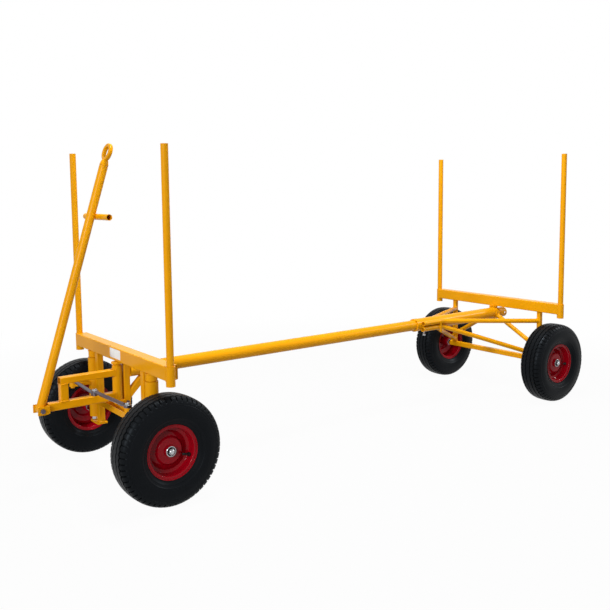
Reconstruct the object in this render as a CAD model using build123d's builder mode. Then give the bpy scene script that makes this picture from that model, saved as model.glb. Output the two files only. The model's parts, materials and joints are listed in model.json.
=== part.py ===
# Long-load trailer: a steered front carriage and a rear carriage joined by one long tube.
# +Z up, +Y to the rear, +X to the trailer's left. The origin is on the floor under the middle
# of the whole trailer. Millimetres.
import os
from math import cos, radians, sin, tan

from build123d import *

os.makedirs("parts", exist_ok=True)

# ---- overall sizes
wheelbase = 2566.0
tow_nose = 389.0              # front axle to the tip of the drawbar clevis
track = 844.0                 # between the middles of a pair of tyres
stake_spacing = 944.0
bolster_top = 582.0
stake_top = 1456.0
kingpin_spacing = 604.0
front_post_spacing = 480.0
rear_post_spacing = 660.0

# ---- fits
running_fit = 0.05            # radial, pins and axles
sliding_fit = 0.1             # radial, stakes and the main tube in its sleeve
axial_play = 0.5              # ends of pins, sleeves and rod eyes

# ---- wheels
tyre_diameter = 460.0
tyre_width = 142.0
tread_width = 104.0
tread_crown = 8.0             # fall from the middle of the tread to its edge
tread_thickness = 14.0
sidewall_thickness = 8.0
shoulder_inset = 8.0          # top of the sidewall, in from the tyre's widest point
shoulder_depth = 24.0         # and down from the crown
bead_diameter = 204.0
bead_width = 13.0
bead_heel = 2.0
flange_diameter = 228.0
flange_lip = 6.0              # rolled edge outside the flange
flange_gap = 1.5              # from the rolled edge to the sidewall
rim_width = 92.0              # between the flanges
rim_thickness = 3.0
rim_bend = 2.5
disc_flange = 18.0            # of the disc, welded under the rim
disc_offset = 12.0            # disc's flange, outboard of the wheel's middle
disc_step = 18.0              # first pressed ring, below the bead seat
disc_bend = 5.0
dish_diameter = 120.0
boss_diameter = 104.0
boss_offset = 27.0            # pressed boss, outboard of the wheel's middle
hub_length = 72.0
hub_diameter = 50.0
axle_diameter = 25.0
axle_height = tyre_diameter / 2
axle_root_diameter = 32.0
shoulder_diameter = 36.0
shoulder_length = 6.0
axle_washer_diameter = 44.0
axle_nut_width = 32.0
axle_nut_length = 12.0

# ---- bolsters, stakes and their sockets
bolster_depth = 56.0
bolster_height = 60.0
bolster_wall = 3.0
socket_diameter = 38.0
socket_drop = 22.0            # below the bolster's underside
socket_floor = 5.0
stake_diameter = 30.0
stake_wall = 2.5
drain_diameter = 8.0

# ---- front carriage
post_size = 30.0
post_wall = 3.0
kingpin_diameter = 25.0
kingpin_collar_diameter = 50.0
thrust_washer_diameter = 40.0
housing_diameter = 57.0
housing_wall = 5.0
bush_length = 45.0            # bored ends that run on the kingpin
housing_bottom = 206.0
housing_top = 490.0
washer_thickness = 3.0
foot_thickness = 8.0
foot_width = 50.0
kingpin_nut_height = 17.0
kingpin_nut_width = 34.0
foot_overlap = 2.0           # of the foot plates, inboard of the posts
channel_height = 28.0
channel_depth = 35.0
channel_wall = 4.0
channel_bottom = 282.0
channel_front_reach = 27.0    # ahead of the front axle
brace_drop = 106.0            # brace's foot below the long tube's axis
steer_pin_diameter = 20.0
steer_pin_nut_width = 30.0
steer_pin_nut_height = 10.0
steer_collar_diameter = 34.0
steer_lug_width = 48.0
steer_lug_thickness = 8.0

# ---- steering frame, clevis and drawbar
steer_offset = 19.0           # steering pin ahead of the kingpins
steer_tube_diameter = 42.4
steer_tube_wall = 4.0
pivot_overhang = 2.0          # of the pivot tube below the lower bar
pivot_rise = 16.0             # and above the upper bar
pivot_bush_length = 30.0      # bored ends that run on the steering pin
steer_bar_width = 35.0
steer_bar_wall = 3.0
upper_bar_height = 30.0
upper_bar_z = 476.0
lower_bar_height = 35.0
lower_bar_z = 370.0
steer_upright_reach = 247.0   # ahead of the steering pin
ear_height = 35.0
ear_thickness = 6.0
ear_gap = 54.0
ear_chamfer = 10.0            # lower back corners of the clevis
hinge_bolt_diameter = 12.0
hinge_bolt_width = 19.0       # across the flats of its head and nut
hinge_head_height = 8.0
hinge_nut_height = 10.0
hinge_setback = 19.0          # hinge axis behind the clevis tip
hinge_z = 365.0
stop_gap = 0.3                # between the parked drawbar and its stop
drawbar_lean = 17.6           # degrees back from upright when parked
drawbar_diameter = 38.0
drawbar_wall = 3.2
sleeve_tube_diameter = 30.0
drawbar_length = 1130.0       # hinge to the middle of the tow eye
eye_outer_diameter = 78.0
eye_bore_diameter = 45.0
eye_thickness = 18.0
eye_thickness_at_neck = 16.0
neck_length = 26.0
handle_reach = 850.0          # hinge to the handle
handle_diameter = 27.0
handle_wall = 2.5
handle_length = 252.0
handle_notch = 2.5

# ---- tie rods
tie_bolt_reach = 107.0        # ahead of the steering pin
arm_reach = 110.0             # ahead of the kingpin
arm_thickness = 12.0
arm_width = 32.0
arm_rise = 1.0                # top of the arms above the lower bar
arm_boss_diameter = 28.0
arm_boss_height = 24.0
rod_diameter = 16.0
rod_eye_diameter = 34.0
rod_eye_thickness = 8.0
rod_tongue = 28.0             # flattened end, from the eye's centre
tie_bolt_diameter = 12.0
tie_nut_width = 19.0
tie_nut_height = 8.0
tie_washer_thickness = 2.0
bolt_point = 2.0              # of a bolt past its nut
outer_eye_play = 1.0          # radial play in the outer eyes

# ---- long tube and rear carriage
main_tube_diameter = 60.3
main_tube_wall = 3.2
main_tube_z = 476.0
main_tube_overrun = 75.0      # behind the rear axle
cross_hole_diameter = 12.0
cross_hole_inset = 17.0
sleeve_diameter = 72.0
sleeve_reach = 731.0          # ahead of the rear axle
sleeve_setback = 4.0          # of its rear end, ahead of the rear axle
lip_length = 28.0
lip_thickness = 1.5
end_ring_length = 30.0
ring_thickness = 4.0
rear_post_size = 25.0
rear_post_wall = 2.5
rear_beam_size = 30.0
stay_diameter = 26.9
stay_wall = 2.6
stay_start = 700.0            # ahead of the rear axle
stay_bend = 530.0             # ahead of the rear axle
stay_bend_radius = 60.0
stay_seat = 0.8               # depth of the weld seat on the sleeve
upper_stay_z = 487.0
lower_stay_z = 454.0
upper_stay_end_z = 466.0      # on the rear posts
lower_stay_rise = 26.0        # end of the lower stays above the axle
rear_brace_diameter = 26.9
rear_brace_low = 294.0        # where the braces meet the posts
rear_brace_high = 484.0       # where they aim at the sleeve's ring
beam_overhang = 20.0          # of the axle beam past the posts
strap_width = 12.0
strap_thickness = 6.0
strap_height = 66.0
strap_bottom = 426.0
strap_setback = 34.0          # ahead of the stays' bends
strap_seat = 0.5              # depth of the lower stay's weld seat in the strap
clamp_screw_reach = 643.0     # ahead of the rear axle
clamp_screw_diameter = 10.0
clamp_screw_drop = 26.0       # of its tip below the sleeve
clamp_nut_width = 16.0
clamp_nut_height = 8.0
clamp_head_height = 7.0
saddle_width = 40.0

# ---- derived places
total_length = tow_nose + wheelbase + tyre_diameter / 2
front_y = tow_nose - total_length / 2
rear_y = front_y + wheelbase
steer_y = front_y - steer_offset
wheel_x = track / 2
stake_x = stake_spacing / 2
kingpin_x = kingpin_spacing / 2
front_post_x = front_post_spacing / 2
rear_post_x = rear_post_spacing / 2
bolster_bottom = bolster_top - bolster_height
socket_bottom = bolster_bottom - socket_drop
socket_bore = stake_diameter + 2 * sliding_fit
bolster_y = (bolster_depth - socket_diameter) / 2   # bolster face flush with its sockets
bolster_end = stake_x - socket_diameter / 5
nose_y = front_y - tow_nose
hinge_y = nose_y + hinge_setback
tie_y = steer_y - tie_bolt_reach
arm_y = front_y - arm_reach
lip_diameter = sleeve_diameter + 2 * lip_thickness
ring_diameter = sleeve_diameter + 2 * ring_thickness


def along(start, end):
    """Plane at the start of a straight piece, facing its end."""
    return Plane(origin=start, z_dir=Vector(end) - Vector(start))


def rod(start, end, diameter, mode=Mode.ADD):
    with BuildSketch(along(start, end)) as section:
        Circle(diameter / 2)
    extrude(section.sketch, amount=(Vector(end) - Vector(start)).length, mode=mode)


def tube(start, end, diameter, wall):
    with BuildSketch(along(start, end)) as section:
        Circle(diameter / 2)
        Circle(diameter / 2 - wall, mode=Mode.SUBTRACT)
    extrude(section.sketch, amount=(Vector(end) - Vector(start)).length)


def bent_rod(start, knee, end, radius, diameter, mode=Mode.ADD):
    """Two straight runs joined at the knee by one round bend."""
    first, last = Vector(knee) - Vector(start), Vector(end) - Vector(knee)
    turn = first.get_angle(last)
    setback = radius * tan(radians(turn / 2))
    bend_in = Vector(knee) - first.normalized() * setback
    bend_out = Vector(knee) + last.normalized() * setback
    inward = (last.normalized() - first.normalized() * cos(radians(turn))).normalized()
    rod(start, bend_in, diameter, mode)
    rod(bend_out, end, diameter, mode)
    with BuildSketch(Plane(origin=bend_in, z_dir=first)) as section:
        Circle(diameter / 2)
    revolve(section.sketch, axis=Axis(bend_in + inward * radius, first.cross(last)),
            revolution_arc=turn, mode=mode)


def box_tube(plane, width, height, wall, length):
    """Rounded hollow section drawn on a plane and drawn out along it."""
    with BuildSketch(plane) as section:
        RectangleRounded(width, height, 1.5 * wall)
        RectangleRounded(width - 2 * wall, height - 2 * wall, 0.5 * wall, mode=Mode.SUBTRACT)
    extrude(section.sketch, amount=length)


def upright(x, y, z):
    return Plane(origin=(x, y, z), x_dir=(1, 0, 0), z_dir=(0, 0, 1))


def across(x, y, z):
    return Plane(origin=(x, y, z), x_dir=(0, 1, 0), z_dir=(1, 0, 0))


def rearward(x, y, z):
    return Plane(origin=(x, y, z), x_dir=(1, 0, 0), z_dir=(0, 1, 0))


def save(piece, name):
    piece.part.label = name
    export_step(piece.part, f"parts/{name}.step")


sides = {"left": 1, "right": -1}
axles = {"front": front_y, "rear": rear_y}

# ---- both bolsters with their sockets, and the stakes that lift out of them
for end, axle_y in axles.items():
    middle_y = axle_y + bolster_y
    with BuildPart() as bolster:
        box_tube(across(-bolster_end, middle_y, bolster_bottom + bolster_height / 2),
                 bolster_depth, bolster_height, bolster_wall, 2 * bolster_end)
        for x in (-stake_x, stake_x):
            rod((x, axle_y, bolster_bottom - 1), (x, axle_y, bolster_top + 1),
                socket_diameter, mode=Mode.SUBTRACT)
    save(bolster, f"{end}_bolster")

    with BuildPart() as sockets:
        for x in (-stake_x, stake_x):
            rod((x, axle_y, socket_bottom), (x, axle_y, bolster_top), socket_diameter)
            rod((x, axle_y, socket_bottom + socket_floor), (x, axle_y, bolster_top + 1),
                socket_bore, mode=Mode.SUBTRACT)
            rod((x, axle_y, socket_bottom - 1), (x, axle_y, socket_bottom + socket_floor + 1),
                drain_diameter, mode=Mode.SUBTRACT)
    save(sockets, f"{end}_stake_sockets")

    for side, sign in sides.items():
        foot = (sign * stake_x, axle_y, socket_bottom + socket_floor)
        with BuildPart() as stake:
            tube(foot, (foot[0], axle_y, stake_top), stake_diameter, stake_wall)
            rod((foot[0], axle_y, stake_top - stake_wall), (foot[0], axle_y, stake_top),
                stake_diameter)
        save(stake, f"{end}_{side}_stake")

# ---- front posts, foot plates, kingpins and their nuts
foot_top = housing_bottom - axial_play - kingpin_nut_height
foot_bottom = foot_top - foot_thickness
with BuildPart() as front_posts:
    for x in (-front_post_x, front_post_x):
        box_tube(upright(x, front_y, foot_top), post_size, post_size, post_wall,
                 bolster_bottom - foot_top)
save(front_posts, "front_posts")

foot_inner = front_post_x - post_size / 2 - foot_overlap
with BuildPart() as foot_plates:
    for sign in sides.values():
        with BuildSketch(Plane.XY.offset(foot_bottom)):
            with Locations((sign * (foot_inner + kingpin_x) / 2, front_y)):
                Rectangle(kingpin_x - foot_inner, foot_width)
            with Locations((sign * kingpin_x, front_y)):
                Circle(foot_width / 2)
                Circle(kingpin_diameter / 2, mode=Mode.SUBTRACT)
        extrude(amount=foot_thickness)
save(foot_plates, "front_foot_plates")

thrust_washer_top = housing_top + axial_play + washer_thickness
with BuildPart() as kingpins:
    for x in (-kingpin_x, kingpin_x):
        rod((x, front_y, foot_bottom), (x, front_y, bolster_bottom), kingpin_diameter)
        rod((x, front_y, thrust_washer_top), (x, front_y, bolster_bottom),
            kingpin_collar_diameter)
        rod((x, front_y, housing_top + axial_play), (x, front_y, thrust_washer_top),
            thrust_washer_diameter)
save(kingpins, "kingpins")

with BuildPart() as kingpin_nuts:
    for x in (-kingpin_x, kingpin_x):
        with BuildSketch(upright(x, front_y, foot_top)):
            RegularPolygon(kingpin_nut_width / 2, 6, major_radius=False)
            Circle(kingpin_diameter / 2, mode=Mode.SUBTRACT)
        extrude(amount=kingpin_nut_height)
save(kingpin_nuts, "kingpin_nuts")

# ---- open channel between the posts, with the centre post behind it
channel_front = front_y - channel_front_reach
with BuildPart() as channel:
    with BuildSketch(across(post_size / 2 - front_post_x, channel_front + channel_depth / 2,
                            channel_bottom + channel_height / 2)):
        Rectangle(channel_depth, channel_height)
        with Locations((0, channel_wall)):
            Rectangle(channel_depth - 2 * channel_wall, channel_height, mode=Mode.SUBTRACT)
    extrude(amount=front_post_spacing - post_size)
save(channel, "front_cross_channel")

centre_post_front = channel_front + channel_depth
with BuildPart() as centre_post:
    box_tube(upright(0, centre_post_front + post_size / 2, channel_bottom), post_size, post_size,
             post_wall, bolster_bottom - channel_bottom)
save(centre_post, "centre_post")

# ---- the long tube, welded to the back of the centre post, and its brace
tube_start = centre_post_front + post_size
tube_end = rear_y + main_tube_overrun
with BuildPart() as main_tube:
    tube((0, tube_start, main_tube_z), (0, tube_end, main_tube_z), main_tube_diameter,
         main_tube_wall)
    rod((-main_tube_diameter, tube_end - cross_hole_inset, main_tube_z),
        (main_tube_diameter, tube_end - cross_hole_inset, main_tube_z), cross_hole_diameter,
        mode=Mode.SUBTRACT)
save(main_tube, "main_tube")

with BuildPart() as brace:
    low = (0, tube_start - post_size, main_tube_z - brace_drop - post_size)
    with BuildSketch(Plane(origin=low, x_dir=(1, 0, 0), z_dir=(0, 1, 1))):
        RectangleRounded(post_size, post_size, 1.5 * post_wall)
        RectangleRounded(post_size - 2 * post_wall, post_size - 2 * post_wall, 0.5 * post_wall,
                         mode=Mode.SUBTRACT)
    extrude(amount=2 * brace_drop)
    split(bisect_by=Plane(origin=(0, tube_start, 0), z_dir=(0, 1, 0)), keep=Keep.TOP)
    split(bisect_by=Plane(origin=(0, 0, main_tube_z), z_dir=(0, 0, 1)), keep=Keep.BOTTOM)
    rod((0, tube_start - 1, main_tube_z), (0, tube_start + 2 * brace_drop, main_tube_z),
        main_tube_diameter, mode=Mode.SUBTRACT)
save(brace, "main_tube_brace")

# ---- steering pin between a lug under the bolster and one on the centre post
bar_bottom = lower_bar_z - lower_bar_height / 2
bar_top = lower_bar_z + lower_bar_height / 2
pivot_bottom = bar_bottom - pivot_overhang
pivot_top = upper_bar_z + upper_bar_height / 2 + pivot_rise
lower_lug_top = pivot_bottom - axial_play
lower_lug_bottom = lower_lug_top - steer_lug_thickness
upper_lug_bottom = bolster_bottom - steer_lug_thickness
with BuildPart() as steering_pin:
    rod((0, steer_y, lower_lug_bottom - steer_pin_nut_height - bolt_point),
        (0, steer_y, upper_lug_bottom), steer_pin_diameter)
    rod((0, steer_y, pivot_top + axial_play), (0, steer_y, upper_lug_bottom),
        steer_collar_diameter)
    with BuildSketch(upright(0, steer_y, lower_lug_bottom - steer_pin_nut_height)):
        RegularPolygon(steer_pin_nut_width / 2, 6, major_radius=False)
    extrude(amount=steer_pin_nut_height)
save(steering_pin, "steering_pin")

with BuildPart() as steering_lugs:
    lug_backs = {upper_lug_bottom: bolster_y + front_y + bolster_depth / 2,
                 lower_lug_bottom: centre_post_front}
    for z, back in lug_backs.items():
        with BuildSketch(Plane.XY.offset(z)):
            with Locations((0, (steer_y + back) / 2)):
                Rectangle(steer_lug_width, back - steer_y)
            with Locations((0, steer_y)):
                Circle(steer_lug_width / 2)
                if z != upper_lug_bottom:
                    Circle(steer_pin_diameter / 2, mode=Mode.SUBTRACT)
        extrude(amount=steer_lug_thickness)
    with BuildSketch(upright(0, centre_post_front + post_size / 2, upper_lug_bottom)):
        Rectangle(post_size, post_size)
    extrude(amount=steer_lug_thickness, mode=Mode.SUBTRACT)
save(steering_lugs, "steering_lugs")

# ---- steering frame: pivot tube, two bars and an upright between them
with BuildPart() as pivot_tube:
    tube((0, steer_y, pivot_bottom), (0, steer_y, pivot_top), steer_tube_diameter,
         steer_tube_diameter / 2 - steer_pin_diameter / 2 - running_fit)
    rod((0, steer_y, pivot_bottom + pivot_bush_length), (0, steer_y, pivot_top - pivot_bush_length),
        steer_tube_diameter - 2 * steer_tube_wall, mode=Mode.SUBTRACT)
save(pivot_tube, "steering_pivot_tube")

web_y = hinge_y + ear_height / 2 * tan(radians(drawbar_lean)) \
    + drawbar_diameter / 2 / cos(radians(drawbar_lean)) + stop_gap   # parked drawbar's stop
upright_y = steer_y - steer_upright_reach
for name, z, height, start_y in (
        ("steering_upper_bar", upper_bar_z, upper_bar_height, upright_y - steer_bar_width / 2),
        ("steering_lower_bar", lower_bar_z, lower_bar_height, web_y + ear_thickness)):
    with BuildPart() as bar:
        box_tube(rearward(0, start_y, z), steer_bar_width, height, steer_bar_wall,
                 steer_y - start_y)
        rod((0, steer_y, z - height), (0, steer_y, z + height), steer_tube_diameter,
            mode=Mode.SUBTRACT)
    save(bar, name)

with BuildPart() as steering_upright:
    box_tube(upright(0, upright_y, bar_top), steer_bar_width, steer_bar_width, steer_bar_wall,
             upper_bar_z - upper_bar_height / 2 - bar_top)
save(steering_upright, "steering_upright")

# ---- clevis: a web across the lower bar's end and two ears
ear_bottom = hinge_z - ear_height / 2
ear_top = hinge_z + ear_height / 2
ear_outer = ear_gap / 2 + ear_thickness
ear_back = web_y + ear_thickness
with BuildPart() as clevis:
    with BuildSketch(across(-ear_outer, 0, 0)):
        with BuildLine():
            Polyline((nose_y, ear_bottom), (ear_back - ear_chamfer, ear_bottom),
                     (ear_back, bar_bottom), (ear_back, ear_top),
                     (nose_y, ear_top), close=True)
        make_face()
    extrude(amount=2 * ear_outer)
    with BuildSketch(across(-ear_gap / 2, (nose_y + web_y) / 2, hinge_z)):
        Rectangle(web_y - nose_y, ear_height)
    extrude(amount=ear_gap, mode=Mode.SUBTRACT)
    rod((-ear_outer, hinge_y, hinge_z), (ear_outer, hinge_y, hinge_z), hinge_bolt_diameter,
        mode=Mode.SUBTRACT)
save(clevis, "drawbar_clevis")

with BuildPart() as hinge_bolt:
    rod((-ear_outer - hinge_nut_height - bolt_point, hinge_y, hinge_z),
        (ear_outer, hinge_y, hinge_z), hinge_bolt_diameter)
    for x, height in ((ear_outer, hinge_head_height),
                      (-ear_outer - hinge_nut_height, hinge_nut_height)):
        with BuildSketch(across(x, hinge_y, hinge_z)):
            RegularPolygon(hinge_bolt_width / 2, 6, major_radius=False)
        extrude(amount=height)
save(hinge_bolt, "drawbar_hinge_bolt")

# ---- drawbar: hinge sleeve, tube, tow eye and cross handle
hinge = Vector(0, hinge_y, hinge_z)
reach = Vector(0, sin(radians(drawbar_lean)), cos(radians(drawbar_lean)))
behind = Vector(0, cos(radians(drawbar_lean)), -sin(radians(drawbar_lean)))
sleeve_half = ear_gap / 2 - axial_play
with BuildPart() as drawbar_sleeve:
    tube((-sleeve_half, hinge_y, hinge_z), (sleeve_half, hinge_y, hinge_z), sleeve_tube_diameter,
         (sleeve_tube_diameter - hinge_bolt_diameter) / 2 - running_fit)
save(drawbar_sleeve, "drawbar_sleeve")

eye_centre = hinge + reach * drawbar_length
neck_start = hinge + reach * (drawbar_length - eye_outer_diameter / 2 - neck_length)
with BuildPart() as drawbar_tube:
    tube(hinge, neck_start, drawbar_diameter, drawbar_wall)
    rod((-drawbar_diameter, hinge_y, hinge_z), (drawbar_diameter, hinge_y, hinge_z),
        sleeve_tube_diameter, mode=Mode.SUBTRACT)
    under_sleeve = Plane(origin=hinge, z_dir=reach)
    split(bisect_by=under_sleeve, keep=Keep.TOP)
save(drawbar_tube, "drawbar_tube")

eye_section = (eye_outer_diameter - eye_bore_diameter) / 2
with BuildPart() as tow_eye:
    eye_plane = Plane(origin=eye_centre, x_dir=(1, 0, 0), z_dir=behind)
    with BuildSketch(eye_plane.offset(-eye_thickness / 2)):
        Circle(eye_outer_diameter / 2)
        Circle(eye_bore_diameter / 2, mode=Mode.SUBTRACT)
    extrude(amount=eye_thickness)
    fillet(tow_eye.edges().filter_by(GeomType.CIRCLE), eye_section / 3)
    neck_end = eye_centre - reach * (eye_bore_diameter / 2 + eye_section / 2)
    with BuildSketch(Plane(origin=neck_start, z_dir=reach)) as wide:
        Circle(drawbar_diameter / 2)
    with BuildSketch(Plane(origin=neck_end, z_dir=reach)) as narrow:
        Circle(eye_thickness_at_neck / 2)
    loft([wide.sketch, narrow.sketch])
save(tow_eye, "tow_eye")

handle_offset = (drawbar_diameter + handle_diameter) / 2 - handle_notch
handle_centre = hinge + reach * handle_reach + behind * handle_offset
with BuildPart() as handle:
    half_handle = Vector(handle_length / 2, 0, 0)
    tube(handle_centre - half_handle, handle_centre + half_handle, handle_diameter, handle_wall)
    rod(hinge + reach * (handle_reach - handle_diameter),
        hinge + reach * (handle_reach + handle_diameter), drawbar_diameter, mode=Mode.SUBTRACT)
save(handle, "drawbar_handle")

# ---- tie rods meet on one bolt on the lower bar and end on the steering arms
arm_top = bar_top + arm_rise
eye_bottom = {"right": arm_top + axial_play,
              "left": arm_top + rod_eye_thickness + 2 * axial_play}
stack_top = eye_bottom["left"] + rod_eye_thickness + axial_play
with BuildPart() as tie_bolt:
    rod((0, tie_y, bar_top), (0, tie_y, arm_top), rod_eye_diameter)
    rod((0, tie_y, bar_top), (0, tie_y, stack_top + tie_nut_height + bolt_point),
        tie_bolt_diameter)
    with BuildSketch(upright(0, tie_y, stack_top)):
        RegularPolygon(tie_nut_width / 2, 6, major_radius=False)
    extrude(amount=tie_nut_height)
save(tie_bolt, "tie_rod_bolt")

rod_sweep = Vector(kingpin_x, arm_y - tie_y)
rod_length = rod_sweep.length
for side, sign in sides.items():
    low = Plane(origin=(0, tie_y, eye_bottom[side]), x_dir=(sign * rod_sweep.X, rod_sweep.Y, 0),
                z_dir=(0, 0, 1))
    middle = low.offset(rod_eye_thickness / 2)
    with BuildPart() as tie_rod:
        rod(middle.from_local_coords((rod_tongue, 0)),
            middle.from_local_coords((rod_length - rod_tongue, 0)), rod_diameter)
        with BuildSketch(low) as ends:
            with Locations((0, 0), (rod_length, 0)):
                Circle(rod_eye_diameter / 2)
            with Locations((rod_tongue / 2, 0), (rod_length - rod_tongue / 2, 0)):
                Rectangle(rod_tongue, rod_eye_diameter - 2 * rod_eye_thickness)
        extrude(ends.sketch, amount=rod_eye_thickness)
        with BuildSketch(low) as bores:
            Circle(tie_bolt_diameter / 2 + running_fit)
            with Locations((rod_length, 0)):
                Circle(tie_bolt_diameter / 2 + outer_eye_play)
        extrude(bores.sketch, amount=rod_eye_thickness, mode=Mode.SUBTRACT)
    save(tie_rod, f"tie_rod_{side}")

# ---- knuckles: housing on the kingpin, steering arm ahead, stub axle outboard
hub_inner = wheel_x - hub_length / 2


def axle_end(sign, start, y):
    """Stub axle along X, from its root to the washer and nut that hold the wheel."""
    def at(x):
        return (sign * x, y, axle_height)
    shoulder = hub_inner - axial_play
    washer = hub_inner + hub_length + axial_play
    nut = washer + washer_thickness
    rod(at(start), at(shoulder), axle_root_diameter)
    rod(at(shoulder - shoulder_length), at(shoulder), shoulder_diameter)
    rod(at(shoulder), at(nut + axle_nut_length + bolt_point), axle_diameter)
    rod(at(washer), at(nut), axle_washer_diameter)
    with BuildSketch(Plane(origin=at(nut), x_dir=(0, 1, 0), z_dir=(sign, 0, 0))) as flats:
        RegularPolygon(axle_nut_width / 2, 6, major_radius=False)
    extrude(flats.sketch, amount=axle_nut_length)


for side, sign in sides.items():
    pin = (sign * kingpin_x, front_y)
    with BuildPart() as housing:
        tube((*pin, housing_bottom), (*pin, housing_top), housing_diameter,
             (housing_diameter - kingpin_diameter) / 2 - running_fit)
        rod((*pin, housing_bottom + bush_length), (*pin, housing_top - bush_length),
            housing_diameter - 2 * housing_wall, mode=Mode.SUBTRACT)
    save(housing, f"kingpin_housing_{side}")

    joint = (sign * kingpin_x, arm_y)
    boss_bottom = arm_top - arm_boss_height
    boss_top = eye_bottom[side] - axial_play
    with BuildPart() as arm:
        with BuildSketch(Plane.XY.offset(boss_bottom)):
            with Locations((pin[0], front_y - arm_reach / 2)):
                Rectangle(arm_width, arm_reach)
            with Locations(joint):
                Circle(arm_width / 2)
            with Locations(pin):
                Circle(housing_diameter / 2, mode=Mode.SUBTRACT)
        extrude(amount=arm_thickness)
        rod((*joint, boss_bottom), (*joint, boss_top), arm_boss_diameter)
        rod((*joint, boss_bottom), (*joint, boss_top), tie_bolt_diameter, mode=Mode.SUBTRACT)
    save(arm, f"steering_arm_{side}")

    washer = eye_bottom[side] + rod_eye_thickness + axial_play
    nut = washer + tie_washer_thickness
    with BuildPart() as arm_bolt:
        rod((*joint, boss_bottom), (*joint, nut + tie_nut_height + bolt_point), tie_bolt_diameter)
        rod((*joint, washer), (*joint, nut), arm_boss_diameter)
        for z in (boss_bottom - tie_nut_height, nut):
            with BuildSketch(upright(*joint, z)):
                RegularPolygon(tie_nut_width / 2, 6, major_radius=False)
            extrude(amount=tie_nut_height)
    save(arm_bolt, f"arm_bolt_{side}")

    with BuildPart() as stub:
        axle_end(sign, kingpin_x, front_y)
        rod((*pin, axle_height - housing_diameter), (*pin, axle_height + housing_diameter),
            housing_diameter, mode=Mode.SUBTRACT)
    save(stub, f"front_stub_axle_{side}")

# ---- rear posts on a box beam that carries the rear stub axles
beam_top = axle_height + rear_beam_size / 2
beam_end = rear_post_x + rear_post_size / 2 + beam_overhang
with BuildPart() as rear_posts:
    for x in (-rear_post_x, rear_post_x):
        box_tube(upright(x, rear_y, beam_top), rear_post_size, rear_post_size, rear_post_wall,
                 bolster_bottom - beam_top)
save(rear_posts, "rear_posts")

with BuildPart() as rear_beam:
    box_tube(across(-beam_end, rear_y, axle_height), rear_beam_size, rear_beam_size,
             post_wall, 2 * beam_end)
save(rear_beam, "rear_axle_beam")

with BuildPart() as rear_stubs:
    for sign in sides.values():
        axle_end(sign, beam_end, rear_y)
save(rear_stubs, "rear_stub_axles")

# ---- sleeve that slides on the long tube, its rings, saddle and clamp screw
sleeve_front = rear_y - sleeve_reach
sleeve_rear = rear_y - sleeve_setback
sleeve_bore = main_tube_diameter + 2 * sliding_fit
screw_y = rear_y - clamp_screw_reach
with BuildPart() as sleeve:
    rod((0, sleeve_front, main_tube_z), (0, sleeve_rear, main_tube_z), sleeve_diameter)
    rod((0, sleeve_front, main_tube_z), (0, sleeve_front + lip_length, main_tube_z),
        lip_diameter)
    rod((0, sleeve_rear - end_ring_length, main_tube_z), (0, sleeve_rear, main_tube_z),
        ring_diameter)
    rod((0, sleeve_front - 1, main_tube_z), (0, sleeve_rear + 1, main_tube_z), sleeve_bore,
        mode=Mode.SUBTRACT)
    rod((0, screw_y, main_tube_z - sleeve_diameter), (0, screw_y, main_tube_z),
        clamp_screw_diameter, mode=Mode.SUBTRACT)
save(sleeve, "rear_sleeve")

ring_y = sleeve_rear - end_ring_length / 2
with BuildPart() as saddle:
    with BuildSketch(upright(0, ring_y, main_tube_z)):
        Rectangle(saddle_width, end_ring_length)
    extrude(amount=bolster_bottom - main_tube_z)
    rod((0, sleeve_rear - end_ring_length, main_tube_z), (0, sleeve_rear, main_tube_z),
        ring_diameter, mode=Mode.SUBTRACT)
save(saddle, "rear_saddle")

screw_tip = main_tube_z - main_tube_diameter / 2 - sliding_fit
screw_seat = main_tube_z - sleeve_diameter / 2
with BuildPart() as clamp_screw:
    with BuildSketch(upright(0, screw_y, screw_seat - clamp_nut_height)):
        RegularPolygon(clamp_nut_width / 2, 6, major_radius=False)
    extrude(amount=clamp_nut_height + sleeve_diameter / 2)
    rod((0, screw_y - clamp_nut_width, main_tube_z), (0, screw_y + clamp_nut_width, main_tube_z),
        sleeve_diameter, mode=Mode.SUBTRACT)
    rod((0, screw_y, screw_seat - clamp_screw_drop), (0, screw_y, screw_tip),
        clamp_screw_diameter)
    with BuildSketch(upright(0, screw_y, screw_seat - clamp_screw_drop - clamp_head_height)):
        RegularPolygon(clamp_nut_width / 2, 6, major_radius=False)
    extrude(amount=clamp_head_height)
save(clamp_screw, "clamp_screw")

# ---- bent stays from the sleeve to the posts
def cope_to_posts():
    """Take the posts and the axle beam out of the ends that meet them."""
    for x in (-rear_post_x, rear_post_x):
        with BuildSketch(upright(x, rear_y, beam_top)) as outline:
            RectangleRounded(rear_post_size, rear_post_size, 1.5 * rear_post_wall)
        extrude(outline.sketch, amount=bolster_bottom - beam_top, mode=Mode.SUBTRACT)
    with BuildSketch(across(-beam_end, rear_y, axle_height)) as outline:
        Rectangle(rear_beam_size, rear_beam_size)
    extrude(outline.sketch, amount=2 * beam_end, mode=Mode.SUBTRACT)


stay_spread = (sleeve_diameter + stay_diameter) / 2 - stay_seat
stay_x = {z: (stay_spread ** 2 - (z - main_tube_z) ** 2) ** 0.5
          for z in (upper_stay_z, lower_stay_z)}
for name, z, end_z in (("upper_stays", upper_stay_z, upper_stay_end_z),
                       ("lower_stays", lower_stay_z, axle_height + lower_stay_rise)):
    with BuildPart() as stays:
        for diameter, mode in ((stay_diameter, Mode.ADD),
                               (stay_diameter - 2 * stay_wall, Mode.SUBTRACT)):
            for sign in sides.values():
                x = sign * stay_x[z]
                bent_rod((x, rear_y - stay_start, z), (x, rear_y - stay_bend, z),
                         (sign * rear_post_x, rear_y, end_z), stay_bend_radius, diameter, mode)
        cope_to_posts()
        rod((0, sleeve_front, main_tube_z), (0, sleeve_rear, main_tube_z), sleeve_diameter,
            mode=Mode.SUBTRACT)
    save(stays, name)

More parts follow.
